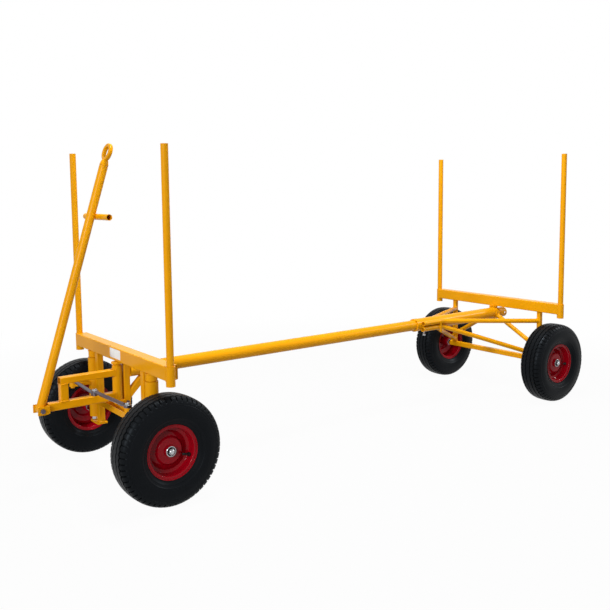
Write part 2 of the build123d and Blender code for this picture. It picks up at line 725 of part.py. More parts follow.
# ---- flat straps that tie each pair of stays together ahead of the bend
strap_x = stay_x[lower_stay_z] + (stay_diameter + strap_thickness) / 2 - strap_seat
with BuildPart() as stay_straps:
    for sign in sides.values():
        with BuildSketch(upright(sign * strap_x, rear_y - stay_bend - strap_setback,
                                 strap_bottom)):
            Rectangle(strap_thickness, strap_width)
        extrude(amount=strap_height)
        for z, x in stay_x.items():
            rod((sign * x, rear_y - stay_start, z), (sign * x, rear_y - stay_bend, z),
                stay_diameter, mode=Mode.SUBTRACT)
save(stay_straps, "stay_straps")

# ---- braces under the bolster, from the sleeve's end ring to the posts
with BuildPart() as rear_braces:
    for sign in sides.values():
        tube((0, ring_y, rear_brace_high), (sign * rear_post_x, rear_y, rear_brace_low),
             rear_brace_diameter, stay_wall)
    cope_to_posts()
    rod((0, sleeve_front, main_tube_z), (0, rear_y + rear_brace_diameter, main_tube_z),
        ring_diameter, mode=Mode.SUBTRACT)
save(rear_braces, "rear_braces")

# ---- wheels: steel rim with its disc and hub, and the tyre around it
half_rim = rim_width / 2
bead_seat = bead_diameter / 2 - rim_thickness / 2     # middles of the sheet metal
lip_radius = flange_diameter / 2 - rim_thickness / 2
flange_x = half_rim + rim_thickness / 2
disc_seat = bead_seat - rim_thickness
hub_wall = (hub_diameter - axle_diameter) / 2 - running_fit
tyre_half = tyre_width / 2
crown_radius = tyre_diameter / 2
bead_radius = bead_diameter / 2
widest_radius = (crown_radius + bead_radius) / 2
sidewall_foot = flange_diameter / 2 + flange_gap

for end, axle_y in axles.items():
    for side, sign in sides.items():
        centre = (sign * wheel_x, axle_y, axle_height)
        section = Plane(origin=centre, x_dir=(sign, 0, 0), z_dir=(0, -sign, 0))
        spin = Axis(centre, (1, 0, 0))
        with BuildPart() as rim:
            with BuildSketch(section):
                with BuildLine():
                    FilletPolyline((-flange_x - flange_lip, lip_radius), (-flange_x, lip_radius),
                                   (-flange_x, bead_seat), (flange_x, bead_seat),
                                   (flange_x, lip_radius), (flange_x + flange_lip, lip_radius),
                                   radius=rim_bend)
                trace(line_width=rim_thickness)
                with BuildLine():
                    FilletPolyline((disc_offset + disc_flange, disc_seat),
                                   (disc_offset, disc_seat),
                                   (disc_offset - disc_bend, bead_seat - disc_step),
                                   (boss_offset - 2 * disc_bend, dish_diameter / 2),
                                   (boss_offset, boss_diameter / 2),
                                   (boss_offset, hub_diameter / 2), radius=disc_bend)
                trace(line_width=rim_thickness)
                with Locations((0, (hub_diameter - hub_wall) / 2)):
                    Rectangle(hub_length, hub_wall)
            revolve(axis=spin)
        save(rim, f"{end}_{side}_rim")

        with BuildPart() as tyre:
            with BuildSketch(section):
                with BuildLine():
                    tread = TangentArc((0, crown_radius),
                                       (tread_width / 2, crown_radius - tread_crown),
                                       tangent=(1, 0))
                    sidewall = TangentArc((tyre_half, widest_radius),
                                          (tyre_half - shoulder_inset,
                                           crown_radius - shoulder_depth),
                                          tangent=(0, 1))
                    TangentArc(sidewall @ 1, tread @ 1, tangent=sidewall % 1)
                    TangentArc((tyre_half, widest_radius), (half_rim + flange_lip, sidewall_foot),
                               tangent=(0, -1))
                    Polyline((half_rim + flange_lip, sidewall_foot), (half_rim, sidewall_foot),
                             (half_rim, bead_radius + bead_heel),
                             (half_rim - bead_heel, bead_radius),
                             (half_rim - bead_width, bead_radius),
                             (half_rim - bead_width, sidewall_foot))
                    cavity = tyre_half - sidewall_thickness
                    TangentArc((cavity, widest_radius), (half_rim - bead_width, sidewall_foot),
                               tangent=(0, -1))
                    EllipticalCenterArc((0, widest_radius), cavity,
                                        crown_radius - tread_thickness - widest_radius,
                                        start_angle=0, arc_size=90)
                    mirror(about=Plane.YZ)
                make_face()
            revolve(axis=spin)
        save(tyre, f"{end}_{side}_tyre")
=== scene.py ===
import json
import math

import bpy
import numpy as np
from mathutils import Matrix, Vector

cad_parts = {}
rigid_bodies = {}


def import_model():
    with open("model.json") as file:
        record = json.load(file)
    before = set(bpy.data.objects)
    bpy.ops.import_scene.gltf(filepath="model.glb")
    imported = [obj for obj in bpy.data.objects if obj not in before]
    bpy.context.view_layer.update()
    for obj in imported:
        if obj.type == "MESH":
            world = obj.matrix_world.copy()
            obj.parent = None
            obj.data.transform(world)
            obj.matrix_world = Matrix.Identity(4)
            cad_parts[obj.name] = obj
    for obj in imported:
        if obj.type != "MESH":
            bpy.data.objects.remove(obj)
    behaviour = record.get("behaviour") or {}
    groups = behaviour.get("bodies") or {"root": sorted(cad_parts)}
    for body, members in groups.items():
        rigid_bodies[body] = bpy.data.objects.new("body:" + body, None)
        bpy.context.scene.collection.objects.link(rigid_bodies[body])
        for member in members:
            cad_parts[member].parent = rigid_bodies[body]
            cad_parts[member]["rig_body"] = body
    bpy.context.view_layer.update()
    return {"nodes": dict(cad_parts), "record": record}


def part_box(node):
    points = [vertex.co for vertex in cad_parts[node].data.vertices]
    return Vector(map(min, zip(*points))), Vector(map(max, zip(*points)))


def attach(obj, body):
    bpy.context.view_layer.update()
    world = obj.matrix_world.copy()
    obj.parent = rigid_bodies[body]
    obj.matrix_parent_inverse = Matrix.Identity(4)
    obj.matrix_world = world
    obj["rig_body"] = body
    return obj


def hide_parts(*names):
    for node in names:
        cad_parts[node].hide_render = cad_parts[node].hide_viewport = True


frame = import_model()
print("frame loaded:", len(frame["nodes"]), "nodes")

sides = {"left": 1, "right": -1}
ends = ("front", "rear")

# camera
cameraSettings = {
    "place": (3.218, -2.6415, 1.2795),
    "azimuth": 54.154,     # degrees, where it looks from +Y towards -X
    "elevation": 6.139,    # degrees it looks down
    "roll": -0.6935,
    "lens": 46.505,
    "sensor": 36,
    "shift": (0.03977, -0.05269),
}


def addCamera():
    azimuth, elevation, roll = (math.radians(cameraSettings[name])
                                for name in ("azimuth", "elevation", "roll"))
    level = math.cos(elevation)
    back = Vector((math.sin(azimuth) * level, -math.cos(azimuth) * level, math.sin(elevation)))
    right = Vector((math.cos(azimuth), math.sin(azimuth), 0))
    up = back.cross(right)
    tiltedRight = right * math.cos(roll) + up * math.sin(roll)
    tiltedUp = up * math.cos(roll) - right * math.sin(roll)
    data = bpy.data.cameras.new("camera")
    data.sensor_width = cameraSettings["sensor"]
    data.lens = cameraSettings["lens"]
    data.shift_x, data.shift_y = cameraSettings["shift"]
    camera = bpy.data.objects.new("camera", data)
    bpy.context.scene.collection.objects.link(camera)
    turn = Matrix((tiltedRight, tiltedUp, back)).transposed().to_4x4()
    camera.matrix_world = Matrix.Translation(cameraSettings["place"]) @ turn
    bpy.context.scene.camera = camera


# materials
def addNode(tree, kind, **settings):
    node = tree.nodes.new("ShaderNode" + kind)
    for key, value in settings.items():
        setattr(node, key, value)
    return node


def fill(node, **values):
    for key, value in values.items():
        name = "".join(" " + letter if letter.isupper() else letter for letter in key).strip()
        node.inputs[name].default_value = value
    return node


def newGroup(name, inputs, outputs):
    group = bpy.data.node_groups.new(name, "ShaderNodeTree")
    for label, value in inputs.items():
        socket = group.interface.new_socket(label, in_out="INPUT", socket_type="NodeSocketFloat")
        socket.default_value = value
    for label, kind in outputs.items():
        group.interface.new_socket(label, in_out="OUTPUT", socket_type="NodeSocket" + kind)
    return group, group.nodes.new("NodeGroupInput"), group.nodes.new("NodeGroupOutput")


def blendColours(tree, factor, first, second):
    mix = addNode(tree, "Mix", data_type="RGBA")
    mix.inputs[6].default_value = (*first, 1)
    mix.inputs[7].default_value = (*second, 1)
    tree.links.new(factor, mix.inputs[0])
    return mix.outputs[2]


def remap(tree, value, low, high, start=0, end=1, curve="LINEAR"):
    # start to end becomes low to high
    spread = fill(addNode(tree, "MapRange", interpolation_type=curve), FromMin=start, FromMax=end,
                  ToMin=low, ToMax=high)
    tree.links.new(value, spread.inputs["Value"])
    return spread.outputs["Result"]


def addNoise(tree, place, scale, detail, roughness):
    noise = fill(addNode(tree, "TexNoise"), Detail=detail, Roughness=roughness)
    tree.links.new(place, noise.inputs["Vector"])
    tree.links.new(scale, noise.inputs["Scale"])
    return noise.outputs["Fac"]


def addBump(tree, height, distance, strength):
    bump = fill(addNode(tree, "Bump"), Strength=strength)
    tree.links.new(distance, bump.inputs["Distance"])
    tree.links.new(height, bump.inputs["Height"])
    return bump.outputs["Normal"]


# cloudy thickness and the fine orange peel of a sprayed coat
# in these three, a pair gives the detail and roughness of a noise
sprayedEffect = {"clouds": (5, 0.6), "cloudRange": (0.3, 0.7), "peel": (1.5, 0.4), "bump": 0.25}


def buildSprayedCoat():
    look = sprayedEffect
    group, given, result = newGroup(
        "sprayedCoat", {"Cloud Scale": 4, "Peel Scale": 500, "Peel Height": 0.0001},
        {"Clouds": "Float", "Normal": "Vector"})
    place = addNode(group, "TexCoord").outputs["Object"]
    clouds = addNoise(group, place, given.outputs["Cloud Scale"], *look["clouds"])
    peel = addNoise(group, place, given.outputs["Peel Scale"], *look["peel"])
    link = group.links.new
    link(remap(group, clouds, 0, 1, *look["cloudRange"]), result.inputs["Clouds"])
    link(addBump(group, peel, given.outputs["Peel Height"], look["bump"]),
         result.inputs["Normal"])
    return group


# spangle of a plated or drawn steel surface, with fine scratches
grainEffect = {"spangle": (6, 0.7), "scratches": (3, 0.6), "stretch": (1, 1, 0.12), "bump": 0.3}


def buildMetalGrain():
    look = grainEffect
    group, given, result = newGroup(
        "metalGrain", {"Spangle Scale": 160, "Scratch Scale": 900, "Scratch Height": 0.00004},
        {"Spangle": "Float", "Scratches": "Float", "Normal": "Vector"})
    link = group.links.new
    place = addNode(group, "TexCoord").outputs["Object"]
    stretch = fill(addNode(group, "Mapping"), Scale=look["stretch"])
    link(place, stretch.inputs["Vector"])
    spangle = addNoise(group, place, given.outputs["Spangle Scale"], *look["spangle"])
    scratches = addNoise(group, stretch.outputs["Vector"], given.outputs["Scratch Scale"],
                         *look["scratches"])
    link(spangle, result.inputs["Spangle"])
    link(scratches, result.inputs["Scratches"])
    link(addBump(group, scratches, given.outputs["Scratch Height"], look["bump"]),
         result.inputs["Normal"])
    return group


# moulded rubber: fine grain, and patches where the sheen is rubbed off
rubberEffect = {"patches": (6, 0.65), "grain": (2, 0.5), "bump": 0.4}


def buildRubberSkin():
    look = rubberEffect
    group, given, result = newGroup(
        "rubberSkin", {"Patch Scale": 14, "Grain Scale": 1500, "Grain Height": 0.0001},
        {"Patches": "Float", "Normal": "Vector"})
    link = group.links.new
    place = addNode(group, "TexCoord").outputs["Object"]
    patches = addNoise(group, place, given.outputs["Patch Scale"], *look["patches"])
    grain = addNoise(group, place, given.outputs["Grain Scale"], *look["grain"])
    link(patches, result.inputs["Patches"])
    link(addBump(group, grain, given.outputs["Grain Height"], look["bump"]),
         result.inputs["Normal"])
    return group


sprayedCoat = buildSprayedCoat()
metalGrain = buildMetalGrain()
rubberSkin = buildRubberSkin()


def newMaterial(name):
    material = bpy.data.materials.new(name)
    material.use_nodes = True
    tree = material.node_tree
    tree.nodes.clear()
    return material, tree, addNode(tree, "OutputMaterial")


def placeGroup(tree, group, **values):
    return fill(addNode(tree, "Group", node_tree=group), **values)


def wireShader(tree, output, shader, effect, colourMask, colours, polishMask, roughness):
    # masks of an effect blend two colours and two degrees of roughness
    link = tree.links.new
    link(blendColours(tree, effect.outputs[colourMask], *colours), shader.inputs["Base Color"])
    link(remap(tree, effect.outputs[polishMask], *roughness), shader.inputs["Roughness"])
    link(effect.outputs["Normal"], shader.inputs["Normal"])
    link(shader.outputs[0], output.inputs[0])


framePaintLook = {
    "colours": ((0.700, 0.293, 0.0022), (0.755, 0.330, 0.0032)), "roughness": (0.28, 0.20),
    "specular": 0.065, "coat": 0.02, "coatRoughness": 0.12,
    "cloudScale": 5, "peelScale": 260, "peelHeight": 0.00003,
}
rimPaintLook = {
    "colours": ((0.245, 0.0008, 0.0058), (0.30, 0.0010, 0.0078)), "roughness": (0.17, 0.10),
    "specular": 0.08, "coat": 0.10, "coatRoughness": 0.06,
    "cloudScale": 9, "peelScale": 200, "peelHeight": 0.00004,
}
labelVinylLook = {
    "colours": ((0.80, 0.80, 0.79), (0.72, 0.73, 0.72)), "roughness": (0.3, 0.42),
    "specular": 0.5, "coat": 0, "coatRoughness": 0.03,
    "cloudScale": 30, "peelScale": 900, "peelHeight": 0.00003,
}


def makeSmooth(name, look):
    # paint or vinyl
    material, tree, output = newMaterial(name)
    coat = placeGroup(tree, sprayedCoat, CloudScale=look["cloudScale"],
                      PeelScale=look["peelScale"], PeelHeight=look["peelHeight"])
    shader = fill(addNode(tree, "BsdfPrincipled"), CoatWeight=look["coat"],
                  CoatRoughness=look["coatRoughness"])
    shader.inputs["Specular IOR Level"].default_value = look["specular"]
    wireShader(tree, output, shader, coat, "Clouds", look["colours"], "Clouds",
               look["roughness"])
    return material


zincLook = {
    "colours": ((0.26, 0.28, 0.30), (0.56, 0.57, 0.58)), "roughness": (0.14, 0.30),
    "spangleScale": 220, "scratchScale": 1300, "scratchHeight": 0.00003,
}
darkSteelLook = {
    "colours": ((0.085, 0.072, 0.09), (0.19, 0.165, 0.19)), "roughness": (0.28, 0.46),
    "spangleScale": 90, "scratchScale": 700, "scratchHeight": 0.00005,
}


def makeMetal(name, look):
    material, tree, output = newMaterial(name)
    grain = placeGroup(tree, metalGrain, SpangleScale=look["spangleScale"],
                       ScratchScale=look["scratchScale"], ScratchHeight=look["scratchHeight"])
    shader = fill(addNode(tree, "BsdfPrincipled"), Metallic=1)
    wireShader(tree, output, shader, grain, "Spangle", look["colours"], "Scratches",
               look["roughness"])
    return material


# the bluish specular tint is painted light: it colours the tyre's reflections blue, as a sky
# reflection would
tyreRubberLook = {
    "colours": ((0.0055, 0.006, 0.007), (0.0025, 0.003, 0.0035)), "roughness": (0.30, 0.46),
    "specular": 0.07, "tint": (0.75, 0.87, 1.0),
    "patchScale": 14, "grainScale": 1500, "grainHeight": 0.00012,
}
stemRubberLook = {
    "colours": ((0.012, 0.012, 0.012), (0.006, 0.006, 0.006)), "roughness": (0.4, 0.6),
    "specular": 0.12, "tint": (1, 1, 1),
    "patchScale": 14, "grainScale": 2500, "grainHeight": 0.00005,
}


def makeRubber(name, look):
    material, tree, output = newMaterial(name)
    skin = placeGroup(tree, rubberSkin, PatchScale=look["patchScale"],
                      GrainScale=look["grainScale"], GrainHeight=look["grainHeight"])
    shader = fill(addNode(tree, "BsdfPrincipled"), SpecularTint=(*look["tint"], 1))
    shader.inputs["Specular IOR Level"].default_value = look["specular"]
    wireShader(tree, output, shader, skin, "Patches", look["colours"], "Patches",
               look["roughness"])
    return material


finishes = {
    "frame_paint": makeSmooth("framePaint", framePaintLook),
    "rim_paint": makeSmooth("rimPaint", rimPaintLook),
    "tyre_rubber": makeRubber("tyreRubber", tyreRubberLook),
    "zinc_steel": makeMetal("zincSteel", zincLook),
    "dark_steel": makeMetal("darkSteel", darkSteelLook),
}
stemRubber = makeRubber("stemRubber", stemRubberLook)
labelVinyl = makeSmooth("labelVinyl", labelVinylLook)
for part in frame["record"]["subparts"]:
    node = frame["nodes"][part["node"]]
    node.data.materials.clear()
    node.data.materials.append(finishes[part["material_slot"]])
print("materials made")

# sharp plate edges of the CAD nodes, broken as a file or a coat of paint does
plateEdges = {"width": 0.0009, "segments": 2, "angle": 50, "joined": 0.00001, "nodes": (
    "front_cross_channel", "front_foot_plates", "steering_lugs", "drawbar_clevis", "rear_saddle",
    "steering_arm_left", "steering_arm_right", "stay_straps")}


def softenEdges():
    for name in plateEdges["nodes"]:
        node = frame["nodes"][name]
        weld = node.modifiers.new("weld", "WELD")
        weld.merge_threshold = plateEdges["joined"]
        bevel = node.modifiers.new("bevel", "BEVEL")
        bevel.width = plateEdges["width"]
        bevel.segments = plateEdges["segments"]
        bevel.limit_method = "ANGLE"
        bevel.angle_limit = math.radians(plateEdges["angle"])


# meshes: a part is a list of points and a list of faces, and a piece is made of parts
def ringFaces(ringCount, around, loop=False):
    faces = []
    for ring in range(ringCount if loop else ringCount - 1):
        here, there = ring * around, (ring + 1) % ringCount * around
        for k in range(around):
            following = (k + 1) % around
            faces.append((here + k, here + following, there + following, there + k))
    return faces


def stackRings(rings, loop=False):
    # rings of equal count joined one to the next, closed by end caps or back to the first
    around = len(rings[0])
    points = [tuple(point) for ring in rings for point in ring]
    faces = ringFaces(len(rings), around, loop)
    if not loop:
        faces.append(tuple(reversed(range(around))))
        faces.append(tuple(range(len(points) - around, len(points))))
    return points, faces


def circle(radius, height, around=36):
    return [(radius * math.cos(2 * math.pi * k / around),
             radius * math.sin(2 * math.pi * k / around), height) for k in range(around)]


def roundedRectangle(width, depth, corner, height, steps=5):
    ring = []
    for quarter in range(4):
        spin = quarter * math.pi / 2
        x = (width / 2 - corner) * (1 if quarter in (0, 3) else -1)
        y = (depth / 2 - corner) * (1 if quarter < 2 else -1)
        for k in range(steps + 1):
            angle = spin + k * math.pi / 2 / steps
            ring.append((x + corner * math.cos(angle), y + corner * math.sin(angle), height))
    return ring


# hexagons: chamfer in degrees, sink and lift in metres, the rest are shares of the half width
# or of the ring inside it
hexShape = {"chamfer": 30, "nutCrown": 0.97, "sink": 0.0007, "headCrown": 0.95, "headFoot": 0.96,
            "lift": 0.0003, "dome": 0.94, "domeTip": 0.06, "domeRings": 8, "dish": (0.80, 0.76)}
chamferSlope = math.tan(math.radians(hexShape["chamfer"]))


def hexagon(flats, height, crown, slope, around=36):
    # the corners fall away from the crown circle by the chamfer's slope
    ring = []
    for k in range(around):
        angle = 2 * math.pi * k / around
        fold = (angle + math.pi / 6) % (math.pi / 3) - math.pi / 6
        radius = flats / 2 / math.cos(fold)
        ring.append((radius * math.cos(angle), radius * math.sin(angle),
                     height - slope * max(0, radius - crown)))
    return ring


def hexNut(flats, height, bore):
    crown = flats / 2 * hexShape["nutCrown"]
    sink = hexShape["sink"]
    return stackRings([circle(bore, sink), circle(bore + sink, 0), circle(crown, 0),
                       hexagon(flats, 0, crown, -chamferSlope),
                       hexagon(flats, height, crown, chamferSlope), circle(crown, height),
                       circle(bore + sink, height), circle(bore, height - sink)], loop=True)


def hexHead(flats, height, dome=0.0):
    # a bolt head, or with a dome an acorn nut, standing on z = 0
    crown = flats / 2 * hexShape["headCrown"]
    lift = hexShape["lift"]
    rings = [circle(flats / 2 * hexShape["headFoot"], 0), hexagon(flats, lift, crown, 0),
             hexagon(flats, height, crown, chamferSlope), circle(crown, height)]
    if dome:
        foot, count = crown * hexShape["dome"], hexShape["domeRings"]
        rings += [circle(foot * math.cos(t), height + dome * math.sin(t))
                  for t in (k * math.pi / 2 / count for k in range(count))]
        rings.append(circle(foot * hexShape["domeTip"], height + dome))
    else:
        edge, floor = hexShape["dish"]
        rings += [circle(crown * edge, height), circle(crown * floor, height - lift)]
    return stackRings(rings)


washerShape = {"edge": 0.2, "around": 48}        # the edge is a share of the thickness


def washer(outer, bore, thickness):
    edge = thickness * washerShape["edge"]
    return stackRings([circle(radius, height, washerShape["around"]) for radius, height in (
        (bore, edge), (bore + edge, 0), (outer - edge, 0), (outer, edge),
        (outer, thickness - edge), (outer - edge, thickness), (bore + edge, thickness),
        (bore, thickness - edge))], loop=True)


def shaft(profile, around=40):
    return stackRings([circle(radius, height, around) for radius, height in profile])


# threads: depth is a share of the pitch, flank of the depth, and the run-out is a slope
threadShape = {"depth": 0.6, "flank": 0.55, "runOut": 0.9, "rowsPerTurn": 6, "around": 24}


def threadedRod(radius, length, pitch):
    # a helical thread whose last turn runs out into a chamfer
    depth, around = threadShape["depth"] * pitch, threadShape["around"]
    rings = []
    count = max(2, int(length / pitch * threadShape["rowsPerTurn"]))
    for row in range(count + 1):
        height = length * row / count
        runOut = max(0.0, height - length + depth) * threadShape["runOut"]
        ring = []
        for k in range(around):
            turn = height / pitch - k / around
            tooth = abs((turn % 1) * 2 - 1)
            reach = min(radius - depth * tooth * threadShape["flank"], radius - runOut)
            angle = 2 * math.pi * k / around
            ring.append((reach * math.cos(angle), reach * math.sin(angle), height))
        rings.append(ring)
    return stackRings(rings)


def facing(axis):
    # turns a part drawn on the floor plan so that its Z points along the axis
    z = Vector(axis).normalized()
    x = Vector((0, 0, 1) if abs(z.y) > 0.9 else (0, 1, 0)).cross(z).normalized()
    return Matrix((x, z.cross(x), z)).transposed()


def placed(part, origin, axis=(0, 0, 1), turn=0.0):
    points, faces = part
    matrix = Matrix.Translation(origin) @ facing(axis).to_4x4() @ Matrix.Rotation(turn, 4, "Z")
    return [tuple(matrix @ Vector(point)) for point in points], faces


def makePiece(name, parts, body, slot, replaced=(), sharp=35, material=None):
    # the slot gives the finish, unless the piece has a material of its own
    points, faces = [], []
    for partPoints, partFaces in parts:
        first = len(points)
        points += partPoints
        faces += [tuple(first + k for k in face) for face in partFaces]
    mesh = bpy.data.meshes.new(name)
    mesh.from_pydata(points, [], faces)
    mesh.shade_smooth()
    mesh.set_sharp_from_angle(angle=math.radians(sharp))
    mesh.materials.append(material or finishes[slot])
    piece = bpy.data.objects.new(name, mesh)
    bpy.context.scene.collection.objects.link(piece)
    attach(piece, body)
    if replaced:
        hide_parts(*replaced)
    return piece


def middle(node):
    low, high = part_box(node)
    return (low + high) / 2


# tyres
tyreShape = {
    # across the tyre and from the axle, mm, from the middle to the bead
    "outline": ((0, 229.9), (20, 229.3), (38, 227.4), (50, 223), (57.5, 216), (62.5, 207),
                (66, 195), (69.3, 181), (70.8, 166), (70.0, 152), (67, 140), (62, 130.5),
                (57.5, 124), (54.3, 119.3), (53, 115.8)),
    "rows": (6.5, 22, 28, 46, 50, 53.5, 57, 63, 66.5, 70),    # extra rows of points, mm along it
    "pitches": 56,
    "land": ((0.02, 0.13), (0.82, 0.935)),       # points of a pitch before and after its slot
    "grooves": ({"place": 14, "top": 3.4, "floor": 1.8, "depth": 5.0, "swing": -2.4},
                {"place": 38, "top": 4.2, "floor": 2.1, "depth": 6.0, "swing": 3.0}),
    "swingFade": 5,
    "slot": {"place": 0.435, "narrow": 0.105, "wide": 0.15, "wall": 0.055, "lips": (0.04, 0.05),
             "depth": 6.0, "start": 38, "full": 60, "end": 74},
    # place, half width and height
    "ribs": ((78, 1.2, 0.7), (84, 0.8, 0.4), (137, 0.8, 0.4), (152, 1.6, 1.1)),
    "ribFoot": 0.5,
    "sidewall": {"start": 4, "end": 2, "step": 5.5, "gap": 2},
    "seat": ((46.2, 115.2), (45.3, 112.0), (45.3, 102.8)),       # hidden side, against the rim
    "turns": {"front_left": 0.3, "front_right": 1.4, "rear_left": 2.1, "rear_right": 4.0},
    "sharp": 42,
}
nearRow = 0.01        # mm, a row this close to an edge counts as on it


def smoothLine(points, steps=24):
    # a curve through the points of half an outline, with its length from the middle
    points = np.array(points, float)
    padded = np.vstack([points[1] * (-1, 1), points, 2 * points[-1] - points[-2]])
    line = []
    for a, b, c, d in zip(padded, padded[1:], padded[2:], padded[3:]):
        for t in np.linspace(0, 1, steps, endpoint=False):
            line.append(0.5 * (2 * b + (c - a) * t + (2 * a - 5 * b + 4 * c - d) * t ** 2
                               + (3 * b - a - 3 * c + d) * t ** 3))
    line.append(points[-1])
    line = np.array(line)
    length = np.concatenate([[0], np.cumsum(np.linalg.norm(np.diff(line, axis=0), axis=1))])
    return line, length


def tyreRows(length):
    # where the rows of points lie along half the outline, closer at grooves and ribs
    slot, wall, foot = tyreShape["slot"], tyreShape["sidewall"], tyreShape["ribFoot"]
    rows = {0.0, slot["full"], slot["end"], *tyreShape["rows"]}
    for groove in tyreShape["grooves"]:
        place, top, floor = groove["place"], groove["top"], groove["floor"]
        rows |= {place - top, place - floor, place, place + floor, place + top}
    for place, half, _ in tyreShape["ribs"]:
        rows |= {place - half - foot, place - half, place + half, place + half + foot}
    place = slot["end"] + wall["start"]
    while place < length - wall["end"]:
        if all(abs(place - row) > wall["gap"] for row in rows):
            rows.add(place)
        place += wall["step"]
    return sorted(rows | {float(length)})


def tyreRow(row, line, length, outward):
    # one row over a pitch of the tread: angles as shares of the pitch, places across and out
    slot = tyreShape["slot"]
    share = min(1.0, max(0.0, (row - slot["start"]) / (slot["end"] - slot["start"])))
    opening = slot["narrow"] + (slot["wide"] - slot["narrow"]) * share
    mid, wall, (lipBefore, lipAfter) = slot["place"], slot["wall"], slot["lips"]
    before, after = tyreShape["land"]
    fractions = np.array([*before, mid - opening - lipBefore, mid - opening,
                          mid - opening + wall, mid, mid + opening - wall,
                          mid + opening, mid + opening + lipAfter, *after])
    inSlot = np.array([0, 0, 0, 0, 1, 1, 1, 0, 0, 0, 0], float)      # on the slot's floor
    zigzag = 4 * np.abs((fractions - mid) % 1 - 0.5) - 1
    shift, cut = np.zeros(len(fractions)), np.zeros(len(fractions))
    for groove in tyreShape["grooves"]:
        away = abs(row - groove["place"])
        fade = max(0.0, 1 - max(0.0, away - groove["top"]) / tyreShape["swingFade"])
        shift += groove["swing"] * fade * zigzag
        if away <= groove["floor"] + nearRow:
            cut = np.maximum(cut, groove["depth"])
    if row >= slot["start"]:
        fade = min(1.0, max(0.0, (slot["end"] - row) / (slot["end"] - slot["full"])))
        cut = np.maximum(cut, slot["depth"] * fade * inSlot)
    for place, half, height in tyreShape["ribs"]:
        if abs(row - place) <= half + nearRow:
            cut = cut - height
    along = np.abs(row + shift)
    across = np.interp(along, length, line[:, 0]) - cut * np.interp(along, length, outward[:, 0])
    out = np.interp(along, length, line[:, 1]) - cut * np.interp(along, length, outward[:, 1])
    return fractions, across, out


def buildTyre():
    line, length = smoothLine(tyreShape["outline"])
    slope = np.gradient(line, axis=0)
    outward = np.stack([-slope[:, 1], slope[:, 0]], 1)
    outward /= np.linalg.norm(outward, axis=1)[:, None]
    half = [tyreRow(row, line, length, outward) for row in tyreRows(length[-1])]
    rows = [(fractions, -across, out) for fractions, across, out in reversed(half)] + half[1:]
    fractions = half[-1][0]
    seat, pitches = tyreShape["seat"], tyreShape["pitches"]
    for across, out in seat + tuple((-x, r) for x, r in reversed(seat)):
        rows.append((fractions, np.full(len(fractions), across), np.full(len(fractions), out)))
    rings = []
    for fractions, across, out in rows:
        angle = ((np.arange(pitches)[:, None] + fractions) * 2 * math.pi / pitches).ravel()
        x, r = np.tile(across, pitches) / 1000, np.tile(out, pitches) / 1000
        rings.append(np.stack([x, r * np.cos(angle), r * np.sin(angle)], 1))
    around = len(rings[0])
    index = np.arange(len(rings) * around).reshape(len(rings), around)
    onward, beside = np.roll(index, -1, axis=0), np.roll(index, -1, axis=1)
    faces = np.stack([index, beside, np.roll(onward, -1, axis=1), onward], -1).reshape(-1, 4)
    return np.concatenate(rings), faces


def addTyres():
    points, faces = buildTyre()
    pattern = bpy.data.meshes.new("tyre")
    pattern.from_pydata(points.tolist(), [], faces.tolist())
    pattern.shade_smooth()
    pattern.set_sharp_from_angle(angle=math.radians(tyreShape["sharp"]))
    pattern.materials.append(finishes["tyre_rubber"])
    for wheel, turn in tyreShape["turns"].items():
        mesh = pattern.copy()
        mesh.transform(Matrix.Translation(middle(wheel + "_tyre")) @ Matrix.Rotation(turn, 4, "X"))
        tyre = bpy.data.objects.new(wheel + "_treaded_tyre", mesh)
        bpy.context.scene.collection.objects.link(tyre)
        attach(tyre, wheel + "_wheel")
        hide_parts(wheel + "_tyre")
    print("tyres:", len(faces) * 2, "triangles each")


# valve stems
valveStem = {
    "foot": (0.029, 0.090),          # from the wheel's middle along the axle, and out from it
    "tip": (0.048, 0.046),
    # degrees up from pointing to the rear
    "angles": {"front_left": -20, "front_right": 150, "rear_left": -11, "rear_right": 40},
    "rubber": ((0.0082, 0), (0.0085, 0.0012), (0.0084, 0.0030), (0.0066, 0.0052), (0.0057, 0.0080),
               (0.0053, 0.0200), (0.0046, 0.0290), (0.0041, 0.0300)),
    "collar": ((0.0037, 0.029), (0.0037, 0.0335)),
    "cap": ((0.0044, 0.0330), (0.0050, 0.0334), (0.0050, 0.0400), (0.0046, 0.0418),
            (0.0034, 0.0425)),
    "knurls": 14,
    "knurlDepth": 0.06,
}


def knurled(part, share):
    # every other point of each ring drawn in
    points, faces = part
    return [(x * scale, y * scale, z) for (x, y, z), scale in
            ((point, 1 - share * (k % 2)) for k, point in enumerate(points))], faces


def addValveStems():
    size = valveStem
    rubber, collar = shaft(size["rubber"]), shaft(size["collar"])
    cap = knurled(shaft(size["cap"], 2 * size["knurls"]), size["knurlDepth"])
    for wheel, angle in size["angles"].items():
        centre = middle(wheel + "_rim")
        sign = 1 if centre.x > 0 else -1
        angle = math.radians(angle)
        outward = Vector((0, math.cos(angle), math.sin(angle)))
        foot, tip = (centre + Vector((sign * across, 0, 0)) + outward * out
                     for across, out in (size["foot"], size["tip"]))
        makePiece(wheel + "_valve", [placed(part, foot, tip - foot)
                                     for part in (rubber, collar, cap)],
                  wheel + "_wheel", "tyre_rubber", material=stemRubber)


# axle ends: shaft, washer, rubber ring and acorn nut
axleEnd = {"root": 0.016, "shoulder": 0.018, "shaft": 0.0123, "shoulderLength": 0.006,
           "chamfer": 0.001, "play": 0.0005, "hub": 0.072, "washer": 0.022,
           "washerThickness": 0.003, "flats": 0.0250, "nut": 0.0070, "dome": 0.0065,
           "turn": 0.2, "inHousing": 0.7, "inBeam": 0.002}
rubberRing = {"bore": 0.0130, "outer": 0.0186, "thickness": 0.0016}


